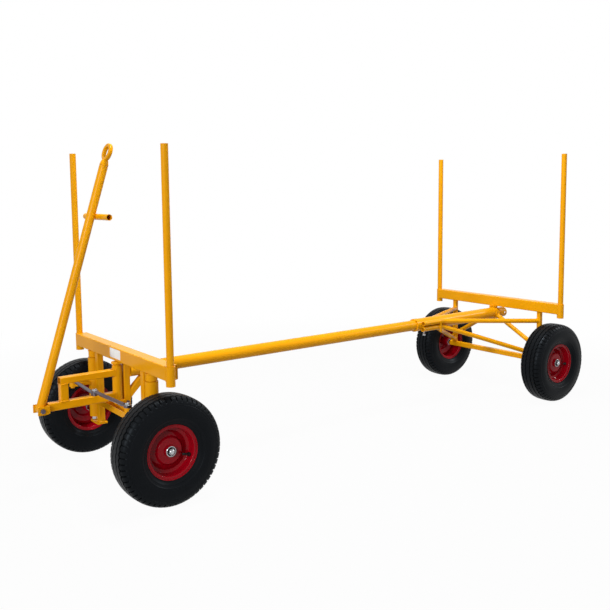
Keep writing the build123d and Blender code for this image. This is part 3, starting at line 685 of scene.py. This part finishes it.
def axleParts(centre, sign, start):
    # start and the places below are distances from the trailer's middle line
    size = axleEnd
    hubInner = abs(centre.x) - size["hub"] / 2 - size["play"]
    hubOuter = hubInner + size["hub"] + 2 * size["play"]
    profile = ((size["root"], start), (size["root"], hubInner - size["shoulderLength"]),
               (size["shoulder"], hubInner - size["shoulderLength"]),
               (size["shoulder"], hubInner - size["chamfer"]),
               (size["shoulder"] - size["chamfer"], hubInner),
               (size["shaft"], hubInner), (size["shaft"], hubOuter + size["washerThickness"]))
    foot = Vector((0, centre.y, centre.z))
    out = Vector((sign, 0, 0))
    return [placed(shaft(profile), foot, out),
            placed(washer(size["washer"], size["shaft"], size["washerThickness"]),
                   foot + out * hubOuter, out),
            placed(hexHead(size["flats"], size["nut"], size["dome"]),
                   foot + out * (hubOuter + size["washerThickness"]), out, size["turn"])]


def addRubberRing(wheel, body):
    centre = middle(wheel + "_rim")
    sign = 1 if centre.x > 0 else -1
    out = axleEnd["hub"] / 2 + axleEnd["play"] + axleEnd["washerThickness"]
    ring = washer(rubberRing["outer"], rubberRing["bore"], rubberRing["thickness"])
    place = centre + Vector((sign * out, 0, 0))
    makePiece(wheel + "_axle_ring", [placed(ring, place, (sign, 0, 0))], body, "tyre_rubber",
              material=stemRubber)


def addAxleEnds():
    for side, sign in sides.items():
        pin = middle("kingpin_housing_" + side)
        low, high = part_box("kingpin_housing_" + side)
        start = abs(pin.x) + (high.y - low.y) / 2 * axleEnd["inHousing"]
        makePiece("axle_end_" + side, axleParts(middle(f"front_{side}_rim"), sign, start),
                  "knuckle_" + side, "zinc_steel", ["front_stub_axle_" + side])
        addRubberRing("front_" + side, "knuckle_" + side)
        addRubberRing("rear_" + side, "rear_carriage")
    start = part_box("rear_axle_beam")[1].x - axleEnd["inBeam"]
    parts = []
    for side, sign in sides.items():
        parts += axleParts(middle(f"rear_{side}_rim"), sign, start)
    makePiece("axle_ends_rear", parts, "rear_carriage", "zinc_steel", ["rear_stub_axles"])


# nuts on the kingpins
kingpinNut = {"flats": 0.034, "bore": 0.0126, "turns": {"left": 0.35, "right": 0.1}}


def addKingpinNuts():
    low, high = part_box("kingpin_nuts")
    nut = hexNut(kingpinNut["flats"], high.z - low.z, kingpinNut["bore"])
    parts = []
    for side, turn in kingpinNut["turns"].items():
        pin = middle("kingpin_housing_" + side)
        parts.append(placed(nut, (pin.x, pin.y, low.z), turn=turn))
    makePiece("kingpin_hex_nuts", parts, "front_carriage", "zinc_steel", ["kingpin_nuts"])


def boltEnd(size, foot, tip, turn):
    # shank and nut of a bolt, and its thread from inside the nut to the tip
    foot, tip, shank = Vector(foot), Vector(tip), size["shank"]
    along = (tip - foot).normalized()
    nutFace = tip - along * size["point"]
    threadFoot = nutFace - along * size["thread"]
    return [placed(shaft(((shank, 0), (shank, (threadFoot - foot).length))), foot, along),
            placed(hexNut(size["flats"], size["nut"], shank), nutFace - along * size["nut"],
                   along, turn),
            placed(threadedRod(shank, size["point"] + size["thread"], size["pitch"]),
                   threadFoot, along)]


# bolts of the steering arms: painted head below, nut and washer above
armBolt = {"shank": 0.006, "flats": 0.019, "head": 0.008, "nut": 0.008, "washer": 0.014,
           "washerThickness": 0.002, "point": 0.002, "thread": 0.004, "pitch": 0.00175,
           "turns": {"left": 0.2, "right": 0.9}, "nutTurn": 0.3}


def addArmBolts():
    size = armBolt
    seat = size["washerThickness"]
    for side, turn in size["turns"].items():
        low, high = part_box("arm_bolt_" + side)
        x, y = middle("arm_bolt_" + side).xy
        foot = (x, y, low.z + size["head"])
        head = placed(hexHead(size["flats"], size["head"]), foot, (0, 0, -1), turn)
        makePiece("arm_bolt_head_" + side, [head], "knuckle_" + side, "frame_paint")
        parts = boltEnd(size, foot, (x, y, high.z), turn + size["nutTurn"])
        parts.append(placed(washer(size["washer"], size["shank"], seat),
                            (x, y, high.z - size["point"] - size["nut"] - seat)))
        makePiece("arm_bolt_nut_" + side, parts, "knuckle_" + side, "zinc_steel",
                  ["arm_bolt_" + side])


tieBolt = {"shank": 0.006, "flats": 0.019, "washer": 0.017, "washerThickness": 0.001,
           "nut": 0.008, "point": 0.002, "thread": 0.004, "pitch": 0.00175, "turn": 0.5}


def addTieBolt():
    size = tieBolt
    low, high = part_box("tie_rod_bolt")
    x, y = middle("tie_rod_bolt").xy
    parts = boltEnd(size, (x, y, low.z), (x, y, high.z), size["turn"])
    parts.append(placed(washer(size["washer"], size["shank"], size["washerThickness"]),
                        (x, y, low.z)))
    makePiece("tie_bolt", parts, "steering_frame", "zinc_steel", ["tie_rod_bolt"])


# the bolt that the drawbar folds on
hingeBolt = {"shank": 0.006, "flats": 0.019, "head": 0.008, "nut": 0.010, "point": 0.002,
             "thread": 0.004, "pitch": 0.00175, "headTurn": 0.25, "nutTurn": 0.1}


def addHingeBolt():
    size = hingeBolt
    low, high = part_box("drawbar_hinge_bolt")
    _, y, z = middle("drawbar_hinge_bolt")
    foot = (high.x - size["head"], y, z)
    parts = boltEnd(size, foot, (low.x, y, z), size["nutTurn"])
    parts.append(placed(hexHead(size["flats"], size["head"]), foot, (1, 0, 0),
                        size["headTurn"]))
    makePiece("hinge_bolt", parts, frame["nodes"]["drawbar_hinge_bolt"]["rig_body"],
              "dark_steel", ["drawbar_hinge_bolt"])


# the clamp screw, up through a nut welded under the sleeve, whose end ring hangs lower
clampScrew = {"shank": 0.005, "flats": 0.016, "head": 0.007, "nut": 0.008, "seat": 0.0012,
              "pitch": 0.0015, "short": 0.002, "ring": 0.004, "turn": 0.3}


def addClampScrew():
    size = clampScrew
    low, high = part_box("clamp_screw")
    x, y = middle("clamp_screw").xy
    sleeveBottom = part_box("rear_sleeve")[0].z + size["ring"]
    headTop = low.z + size["head"]
    parts = [
        placed(hexHead(size["flats"], size["head"]), (x, y, headTop), (0, 0, -1), size["turn"]),
        placed(threadedRod(size["shank"], high.z - low.z - size["head"] - size["short"],
                           size["pitch"]), (x, y, headTop)),
        placed(hexNut(size["flats"], size["nut"] + size["seat"], size["shank"]),
               (x, y, sleeveBottom - size["nut"]))]
    makePiece("sleeve_clamp_screw", parts, "rear_carriage", "zinc_steel", ["clamp_screw"])


# a small head on the side of the centre post
postBolt = {"z": 0.335, "flats": 0.010, "head": 0.0045, "bore": 0.003, "washer": 0.0075,
            "washerThickness": 0.0012, "turn": 0.2}


def addPostBolt():
    size = postBolt
    low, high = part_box("centre_post")
    y, z, seat = (low.y + high.y) / 2, size["z"], size["washerThickness"]
    parts = [
        placed(washer(size["washer"], size["bore"], seat), (high.x, y, z), (1, 0, 0)),
        placed(hexHead(size["flats"], size["head"]), (high.x + seat, y, z), (1, 0, 0),
               size["turn"])]
    makePiece("post_bolt", parts, "front_carriage", "dark_steel")


# blank label on the front bolster
label = {"left": -0.068, "right": 0.041, "bottom": 0.534, "top": 0.576, "corner": 0.003,
         "thickness": 0.0004, "sides": 0.7, "edge": 0.0003}       # sides: share of the thickness


def addLabel():
    low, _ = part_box("front_bolster")
    width, height = label["right"] - label["left"], label["top"] - label["bottom"]
    thickness, edge, corner = label["thickness"], label["edge"], label["corner"]
    plate = stackRings([roundedRectangle(width - cut, height - cut, corner, rise)
                        for cut, rise in ((0, 0), (0, thickness * label["sides"]),
                                          (edge, thickness))])
    place = ((label["left"] + label["right"]) / 2, low.y, (label["bottom"] + label["top"]) / 2)
    makePiece("blank_label", [placed(plate, place, (0, -1, 0))], "front_carriage",
              "frame_paint", material=labelVinyl)


# weld beads along the joints
bead = {"radius": 0.0026, "pitch": 0.0038, "ripple": 0.20, "wander": 0.10, "around": 7,
        "rowsPerRipple": 4, "fewestRows": 4, "wanderRows": 6, "endSize": 0.45, "sharp": 60,
        "seed": 11}
beadRandom = np.random.default_rng(bead["seed"])


def beadAlong(path):
    # a bead of overlapping ripples swept along the points
    path = np.array([tuple(point) for point in path], float)
    reach = np.concatenate([[0], np.cumsum(np.linalg.norm(np.diff(path, axis=0), axis=1))])
    count = max(bead["fewestRows"], int(reach[-1] / bead["pitch"] * bead["rowsPerRipple"]))
    places = np.linspace(0, reach[-1], count + 1)
    line = np.stack([np.interp(places, reach, path[:, k]) for k in range(3)], 1)
    size = np.full(count + 1, bead["radius"])
    size *= 1 - bead["ripple"] * (places / bead["pitch"] % 1)
    rows = bead["wanderRows"]
    drift = beadRandom.uniform(-1, 1, count // rows + 3)
    size *= 1 + bead["wander"] * np.interp(np.arange(count + 1) / rows,
                                           np.arange(len(drift)), drift)
    size[[0, -1]] *= bead["endSize"]
    tangent = np.gradient(line, axis=0)
    across = Vector(tangent[0]).orthogonal().normalized()
    rings = []
    for point, forward, half in zip(line, tangent, size):
        forward = Vector(forward).normalized()
        across = (across - across.dot(forward) * forward).normalized()
        beside = forward.cross(across)
        rings.append([Vector(point) + float(half) * (math.cos(t) * across + math.sin(t) * beside)
                      for t in (2 * math.pi * k / bead["around"] for k in range(bead["around"]))])
    return stackRings(rings)


def closedSeam(ring, x, y, z):
    # a ring in plan round a place, closed with a short overlap
    points = [(x + a, y + b, z) for a, b, *_ in ring]
    return points + points[:2]


postCorner = 0.0042        # rounding of the square tubes


def postSeam(node, z, side=0):
    # round the outline of a post, or of one of a pair of square posts
    low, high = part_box(node)
    depth = high.y - low.y
    width = depth if side else high.x - low.x
    x = side * (high.x - width / 2) if side else (low.x + high.x) / 2
    return closedSeam(roundedRectangle(width, depth, postCorner, 0), x, (low.y + high.y) / 2, z)


def arc(centre, radius, first, last, axis=(0, 0, 1), steps=40):
    matrix = facing(axis)
    points = []
    for k in range(steps + 1):
        angle = math.radians(first + (last - first) * k / steps)
        points.append(Vector(centre) + matrix @ Vector((radius * math.cos(angle),
                                                        radius * math.sin(angle), 0)))
    return points


def roundSeam(centre, radius, axis=(0, 0, 1), overlap=4):
    return arc(centre, radius, 0, 360 + overlap, axis)       # overlap in degrees


# how far a straight line runs before it meets a box or a round tube
parallel = 1e-6


def boxDistance(low, high):
    def distance(origin, direction):
        return max(min((low[k] - origin[k]) / direction[k], (high[k] - origin[k]) / direction[k])
                   for k in range(3) if abs(direction[k]) > parallel)
    return distance


def cylinderDistance(point, axis, radius):
    axis = Vector(axis).normalized()

    def distance(origin, direction):
        offset = origin - Vector(point)
        offset -= offset.dot(axis) * axis
        flat = direction - direction.dot(axis) * axis
        a, b, c = flat.dot(flat), offset.dot(flat), offset.dot(offset) - radius ** 2
        return (-b - math.sqrt(max(0.0, b * b - a * c))) / a
    return distance


def tubeSeam(start, end, radius, distance, steps=36):
    # where a round tube runs into another piece
    direction = (Vector(end) - Vector(start)).normalized()
    across = direction.orthogonal().normalized()
    beside = direction.cross(across)
    points = []
    for k in range(steps + 2):
        angle = 2 * math.pi * k / steps
        origin = Vector(start) + radius * (math.cos(angle) * across + math.sin(angle) * beside)
        points.append(origin + direction * distance(origin, direction))
    return points


def barSeam(centre, radius, half, top, bottom, away):
    # where a box bar runs into an upright round tube: away is the side it comes from, -1 or 1
    swing, mid = math.degrees(math.asin(half / radius)), away * 90
    upper = arc((centre.x, centre.y, top), radius, mid - swing, mid + swing, steps=10)
    lower = arc((centre.x, centre.y, bottom), radius, mid + swing, mid - swing, steps=10)
    return upper + lower + upper[:2]


frameJoints = {
    "tubeRadius": 0.03015, "braceHalfHeight": 0.0212, "braceDrop": 0.106, "lugHalf": 0.024,
    "lugThickness": 0.008, "pivotRadius": 0.0212, "barHalf": 0.0175, "collarRadius": 0.025,
    "socketRadius": 0.019, "channelLap": 0.004, "short": 0.001, "socketShort": 0.002,
    "lugShort": (0.003, 0.002),          # the short ones: what a run leaves free at its ends
}


def frontWelds():
    size, short = frameJoints, frameJoints["short"]
    paths = []
    postLow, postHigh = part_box("front_posts")
    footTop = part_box("front_foot_plates")[1].z
    low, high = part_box("front_cross_channel")
    for name, side in sides.items():
        paths += [postSeam("front_posts", z, side) for z in (postHigh.z, footTop)]
        pin = middle("kingpin_housing_" + name)
        paths.append(roundSeam((pin.x, pin.y, postHigh.z), size["collarRadius"], overlap=2))
        x = side * high.x
        paths.append([(x, high.y, high.z), (x, high.y, low.z),
                      (x, postLow.y + size["channelLap"], low.z)])
    postLow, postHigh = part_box("centre_post")
    for x in (postLow.x, postHigh.x):
        paths.append([(x, high.y, low.z + short), (x, high.y, high.z - short)])
    paths.append([(postLow.x, high.y, high.z), (postHigh.x, high.y, high.z)])
    # long tube and brace behind the centre post
    tube = middle("main_tube")
    reach = math.sqrt(size["tubeRadius"] ** 2 - postHigh.x ** 2)
    for x in (postLow.x, postHigh.x):
        paths.append([(x, postHigh.y, tube.z - reach), (x, postHigh.y, tube.z + reach)])
    foot, half = tube.z - size["braceDrop"], size["braceHalfHeight"]
    for step in (-half, half):
        paths.append([(postLow.x, postHigh.y, foot + step), (postHigh.x, postHigh.y, foot + step)])
    top = []
    for step, places in ((half, (-1, -0.5, 0, 0.5, 1)), (-half, (1, 0.5, 0, -0.5, -1))):
        for share in places:
            x = share * postHigh.x
            z = tube.z - math.sqrt(size["tubeRadius"] ** 2 - x * x)
            top.append((x, postHigh.y + z - foot + step, z))
    paths.append(top + top[:1])
    # steering lugs
    low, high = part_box("steering_lugs")
    start, end = size["lugShort"]
    for z in (low.z, low.z + size["lugThickness"]):
        paths.append([(postLow.x, postLow.y, z), (postHigh.x, postLow.y, z)])
    for x in (-size["lugHalf"], size["lugHalf"]):
        paths.append([(x, low.y + size["lugHalf"] + start, high.z), (x, high.y - end, high.z)])
    return paths


def socketWelds(end):
    paths = []
    low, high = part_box(end + "_bolster")
    _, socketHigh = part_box(end + "_stake_sockets")
    radius, short = frameJoints["socketRadius"], frameJoints["socketShort"]
    x, y = socketHigh.x - radius, middle(end + "_stake_sockets").y
    swing = math.degrees(math.acos((x - high.x) / radius))
    seam = radius * math.sin(math.radians(swing))
    for side in sides.values():
        inward = 180 if side > 0 else 0
        paths.append(arc((side * x, y, low.z), radius, inward - swing, inward + swing))
        for across in (-seam, seam):
            paths.append([(side * high.x, y + across, low.z + short),
                          (side * high.x, y + across, high.z - short)])
    return paths


def steeringWelds():
    size = frameJoints
    pivot = middle("steering_pivot_tube")
    paths = []
    for name in ("steering_upper_bar", "steering_lower_bar"):
        low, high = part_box(name)
        paths.append(barSeam(pivot, size["pivotRadius"], size["barHalf"], high.z, low.z, -1))
    postLow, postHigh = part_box("steering_upright")
    paths += [postSeam("steering_upright", z) for z in (postHigh.z, postLow.z)]
    # the clevis on the front end of the lower bar
    low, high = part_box("steering_lower_bar")
    paths.append([(x, low.y, z) for x, z in (
        (low.x, high.z), (high.x, high.z), (high.x, low.z), (low.x, low.z), (low.x, high.z))])
    return paths


drawbarJoints = {
    "lean": 17.6,
    "handleReach": 0.850, "handleBack": 0.030, "notch": 0.012,
    "seamHalf": 0.0085, "seamPlaces": (-0.012, -0.006, 0, 0.006, 0.012), "seamFall": 0.35,
}
drawbarTaper = {
    "reach": 1.0700, "around": 48, "sharp": 60,
    "profile": ((0.0191, 0), (0.0191, 0.004), (0.0183, 0.0085), (0.0162, 0.0165),
                (0.0140, 0.0235), (0.0120, 0.0265)),
}


def drawbarAxis():
    # hinge, and the directions along the drawbar and behind it
    lean = math.radians(drawbarJoints["lean"])
    hinge = middle("drawbar_hinge_bolt")
    return (Vector((0, hinge.y, hinge.z)), Vector((0, math.sin(lean), math.cos(lean))),
            Vector((0, math.cos(lean), -math.sin(lean))))


def addDrawbarTaper():
    # the tube's end, drawn in round the neck of the tow eye
    size = drawbarTaper
    hinge, along, _ = drawbarAxis()
    taper = shaft(size["profile"], size["around"])
    makePiece("drawbar_taper", [placed(taper, hinge + along * size["reach"], along)], "drawbar",
              "frame_paint", sharp=size["sharp"])


def drawbarWelds():
    # the handle lies in a notch behind the drawbar
    size = drawbarJoints
    hinge, along, back = drawbarAxis()
    seat = hinge + along * size["handleReach"] + back * (size["handleBack"] - size["notch"])
    return [[seat + along * step + Vector((x, 0, 0)) - back * abs(x) * size["seamFall"]
             for x in size["seamPlaces"]] for step in (-size["seamHalf"], size["seamHalf"])]


knuckleJoints = {"armHalf": 0.016, "armThickness": 0.012, "eyeRadius": 0.014}


def knuckleWelds(side):
    size = knuckleJoints
    low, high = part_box("kingpin_housing_" + side)
    pin = middle("kingpin_housing_" + side)
    radius = (high.y - low.y) / 2
    armLow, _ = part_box("steering_arm_" + side)
    armTop = armLow.z + size["armThickness"]
    swing = math.degrees(math.asin(size["armHalf"] / radius))
    paths = [arc((pin.x, pin.y, z), radius, 270 - swing, 270 + swing, steps=12)
             for z in (armLow.z, armTop)]
    eye = middle("arm_bolt_" + side)
    paths.append(roundSeam((eye.x, eye.y, armTop), size["eyeRadius"]))
    wheel = middle(f"front_{side}_rim")
    paths.append(tubeSeam(wheel, (pin.x, wheel.y, wheel.z), axleEnd["root"],
                          cylinderDistance((pin.x, pin.y, 0), (0, 0, 1), radius)))
    return paths


stayJoints = {
    "radius": 0.01345, "sleeveRadius": 0.036, "upper": (0.0474, 0.487), "lower": (0.0434, 0.454),
    "knee": 0.170, "upperEnd": 0.466, "lowerEnd": 0.256,      # knee behind the stay's front end
    "stitches": ((0.004, 0.045), (0.062, 0.100), (0.120, 0.160)), "offset": 0.0062,
    "stitchLift": 0.001, "ringRadius": 0.040, "braceTop": 0.484, "braceLow": 0.294,
    "postSpan": (0.2, 0.6), "saddleShort": 0.001, "saddleCorner": 0.002,
    "strapHalf": 0.006, "strapHalfHeight": 0.010, "nutRadius": 0.0085,
}


def rearWelds():
    size = stayJoints
    paths = []
    postLow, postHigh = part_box("rear_posts")
    postSize = postHigh.y - postLow.y
    postX, postY = postHigh.x - postSize / 2, (postLow.y + postHigh.y) / 2
    postFoot, postTop = size["postSpan"]
    _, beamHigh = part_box("rear_axle_beam")
    tube, wheel = middle("main_tube"), middle("rear_left_rim")
    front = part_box("upper_stays")[0].y
    saddleLow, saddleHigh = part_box("rear_saddle")
    ringY = (saddleLow.y + saddleHigh.y) / 2
    gap = size["offset"] ** 2 / (2 * size["sleeveRadius"])
    stitchRadius = size["sleeveRadius"] - gap + size["stitchLift"]
    for sign in sides.values():
        paths += [postSeam("rear_posts", z, sign) for z in (postHigh.z, beamHigh.z)]
        inner = sorted((sign * (postHigh.x - postSize), sign * postHigh.x))
        post = boxDistance((inner[0], postLow.y, postFoot), (inner[1], postHigh.y, postTop))
        for x, z, end in ((*size["upper"], size["upperEnd"]), (*size["lower"], size["lowerEnd"])):
            knee = (sign * x, front + size["knee"], z)
            paths.append(tubeSeam(knee, (sign * postX, postY, end), size["radius"], post))
            # stitches between the stay and the sleeve
            out = Vector((sign * x, 0, z - tube.z)).normalized()
            side = Vector((-out.z, 0, out.x))
            for step in (-size["offset"], size["offset"]):
                place = out * stitchRadius + side * step
                for run in size["stitches"]:
                    paths.append([(place.x, front + y, tube.z + place.z) for y in run])
        top = (0, ringY, size["braceTop"])
        low = (sign * postX, postY, size["braceLow"])
        paths.append(tubeSeam(top, low, size["radius"], post))
        paths.append(tubeSeam(low, top, size["radius"],
                              cylinderDistance((0, ringY, tube.z), (0, 1, 0), size["ringRadius"])))
        # saddle on the sleeve's ring
        x = sign * saddleHigh.x
        z = tube.z + math.sqrt(size["ringRadius"] ** 2 - x * x)
        paths.append([(x, saddleLow.y + size["saddleShort"], z),
                      (x, saddleHigh.y - size["saddleShort"], z)])
        paths.append(roundSeam((sign * beamHigh.x, wheel.y, wheel.z), axleEnd["root"],
                               (sign, 0, 0)))
    saddle = roundedRectangle(saddleHigh.x - saddleLow.x, saddleHigh.y - saddleLow.y,
                              size["saddleCorner"], 0)
    paths.append(closedSeam(saddle, 0, ringY, saddleHigh.z))
    # straps across each pair of stays
    low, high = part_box("stay_straps")
    tall = size["strapHalfHeight"]
    for sign in sides.values():
        x = sign * (high.x - size["strapHalf"])
        for z in (size["upper"][1], size["lower"][1]):
            for y in (low.y, high.y):
                paths.append([(x, y, z - tall), (x, y, z + tall)])
    nut = middle("clamp_screw")
    paths.append(closedSeam(circle(size["nutRadius"], 0), nut.x, nut.y,
                            tube.z - size["sleeveRadius"]))
    return paths


def addWelds():
    plan = {"front_carriage": frontWelds() + socketWelds("front"),
            "rear_carriage": rearWelds() + socketWelds("rear"),
            "steering_frame": steeringWelds(), "drawbar": drawbarWelds()}
    for side in sides:
        plan["knuckle_" + side] = knuckleWelds(side)
    total = 0
    for body, paths in plan.items():
        piece = makePiece("welds_" + body, [beadAlong(path) for path in paths], body,
                          "frame_paint", sharp=bead["sharp"])
        total += len(piece.data.polygons)
    print("weld beads:", sum(len(paths) for paths in plan.values()), "runs,", total, "faces")


# painted plates that close the ends of both bolsters, between the socket and the far wall
endPlate = {"wall": 0.003, "thickness": 0.002, "inset": 0.0006, "corner": 0.003, "chamfer": 0.0005,
            "socketShare": 0.455}


def addEndPlates():
    size = endPlate
    for end in ends:
        low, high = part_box(end + "_bolster")
        socketLow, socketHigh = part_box(end + "_stake_sockets")
        near = (middle(end + "_stake_sockets").y
                + size["socketShare"] * (socketHigh.y - socketLow.y))
        far = high.y - size["wall"]
        width, height = far - near, high.z - low.z - 2 * size["wall"]
        plate = stackRings([
            roundedRectangle(height - 2 * cut, width - 2 * cut, size["corner"], rise)
            for cut, rise in ((0, 0), (0, size["thickness"] - size["chamfer"]),
                              (size["chamfer"], size["thickness"]))])
        x = high.x - size["inset"] - size["thickness"]
        y, z = (near + far) / 2, (low.z + high.z) / 2
        makePiece(end + "_bolster_end_plates",
                  [placed(plate, (sign * x, y, z), (sign, 0, 0)) for sign in sides.values()],
                  end + "_carriage", "frame_paint")


# stage
floorLook = {"half": 60, "paper": (0.35, 0.35, 0.35), "near": 0.965, "nearTo": 1.8, "farFrom": 4.0}
worldLook = {"fill": 0.16}
lampPlan = {
    "overhead": {"place": (0.5, -0.2, 4.3), "aim": (0, 0, 0.3), "size": (1.3, 1.3), "power": 185},
    "frontSide": {"place": (4.0, -8.0, 3.5), "aim": (0, 0, 0.5), "size": (4.0, 3.0), "power": 600},
    "rearSide": {"place": (2.6, 5.2, 3.6), "aim": (0, 0, 0.5), "size": (1.2, 0.9), "power": 110},
}


def backgroundRays(tree):
    # rays that see the white background itself, where the others see what lights the object
    path = addNode(tree, "LightPath")
    chosen = path.outputs["Is Camera Ray"]
    for name in ("Is Glossy Ray", "Is Transmission Ray"):
        either = addNode(tree, "Math", operation="MAXIMUM")
        tree.links.new(chosen, either.inputs[0])
        tree.links.new(path.outputs[name], either.inputs[1])
        chosen = either.outputs[0]
    return chosen


def mixShaders(tree, factor, first, second, output):
    mix = addNode(tree, "MixShader")
    for place, socket in enumerate((factor, first.outputs[0], second.outputs[0])):
        tree.links.new(socket, mix.inputs[place])
    tree.links.new(mix.outputs[0], output.inputs[0])


def addFloor():
    look = floorLook
    material, tree, output = newMaterial("floorPaper")
    link = tree.links.new
    paper = fill(addNode(tree, "BsdfDiffuse"), Color=(*look["paper"], 1))
    place = addNode(tree, "NewGeometry")
    distance = addNode(tree, "VectorMath", operation="LENGTH")
    link(place.outputs["Position"], distance.inputs[0])
    share = addNode(tree, "Math", operation="MULTIPLY")
    link(backgroundRays(tree), share.inputs[0])
    link(remap(tree, distance.outputs["Value"], look["near"], 1, look["nearTo"],
               look["farFrom"], "SMOOTHSTEP"), share.inputs[1])
    mixShaders(tree, share.outputs[0], paper, addNode(tree, "Emission"), output)
    half = look["half"]
    mesh = bpy.data.meshes.new("floor")
    mesh.from_pydata([(-half, -half, 0), (half, -half, 0), (half, half, 0), (-half, half, 0)], [],
                     [(0, 1, 2, 3)])
    mesh.materials.append(material)
    floor = bpy.data.objects.new("floor", mesh)
    bpy.context.scene.collection.objects.link(floor)


def addWorld():
    world = bpy.data.worlds.new("studio")
    world.use_nodes = True
    tree = world.node_tree
    tree.nodes.clear()
    soft, white = (fill(addNode(tree, "Background"), Color=(1, 1, 1, 1), Strength=strength)
                   for strength in (worldLook["fill"], 1))
    mixShaders(tree, backgroundRays(tree), soft, white, addNode(tree, "OutputWorld"))
    bpy.context.scene.world = world


def addLamps():
    for name, plan in lampPlan.items():
        data = bpy.data.lights.new(name, "AREA")
        data.shape = "RECTANGLE"
        data.size, data.size_y = plan["size"]
        data.energy = plan["power"]
        lamp = bpy.data.objects.new(name, data)
        lamp.location = plan["place"]
        aim = Vector(plan["aim"]) - Vector(plan["place"])
        lamp.rotation_euler = aim.to_track_quat("-Z", "Y").to_euler()
        bpy.context.scene.collection.objects.link(lamp)


softenEdges()
addTyres()
addValveStems()
addAxleEnds()
addKingpinNuts()
addArmBolts()
addTieBolt()
addHingeBolt()
addClampScrew()
addPostBolt()
print("wheels, axle ends and fasteners made")
addDrawbarTaper()
addWelds()
addEndPlates()
addLabel()
print("drawbar end, welds, end plates and label made")
addCamera()
addFloor()
addWorld()
addLamps()
bpy.context.scene.view_settings.view_transform = "Standard"
print("stage, lamps and camera ready")
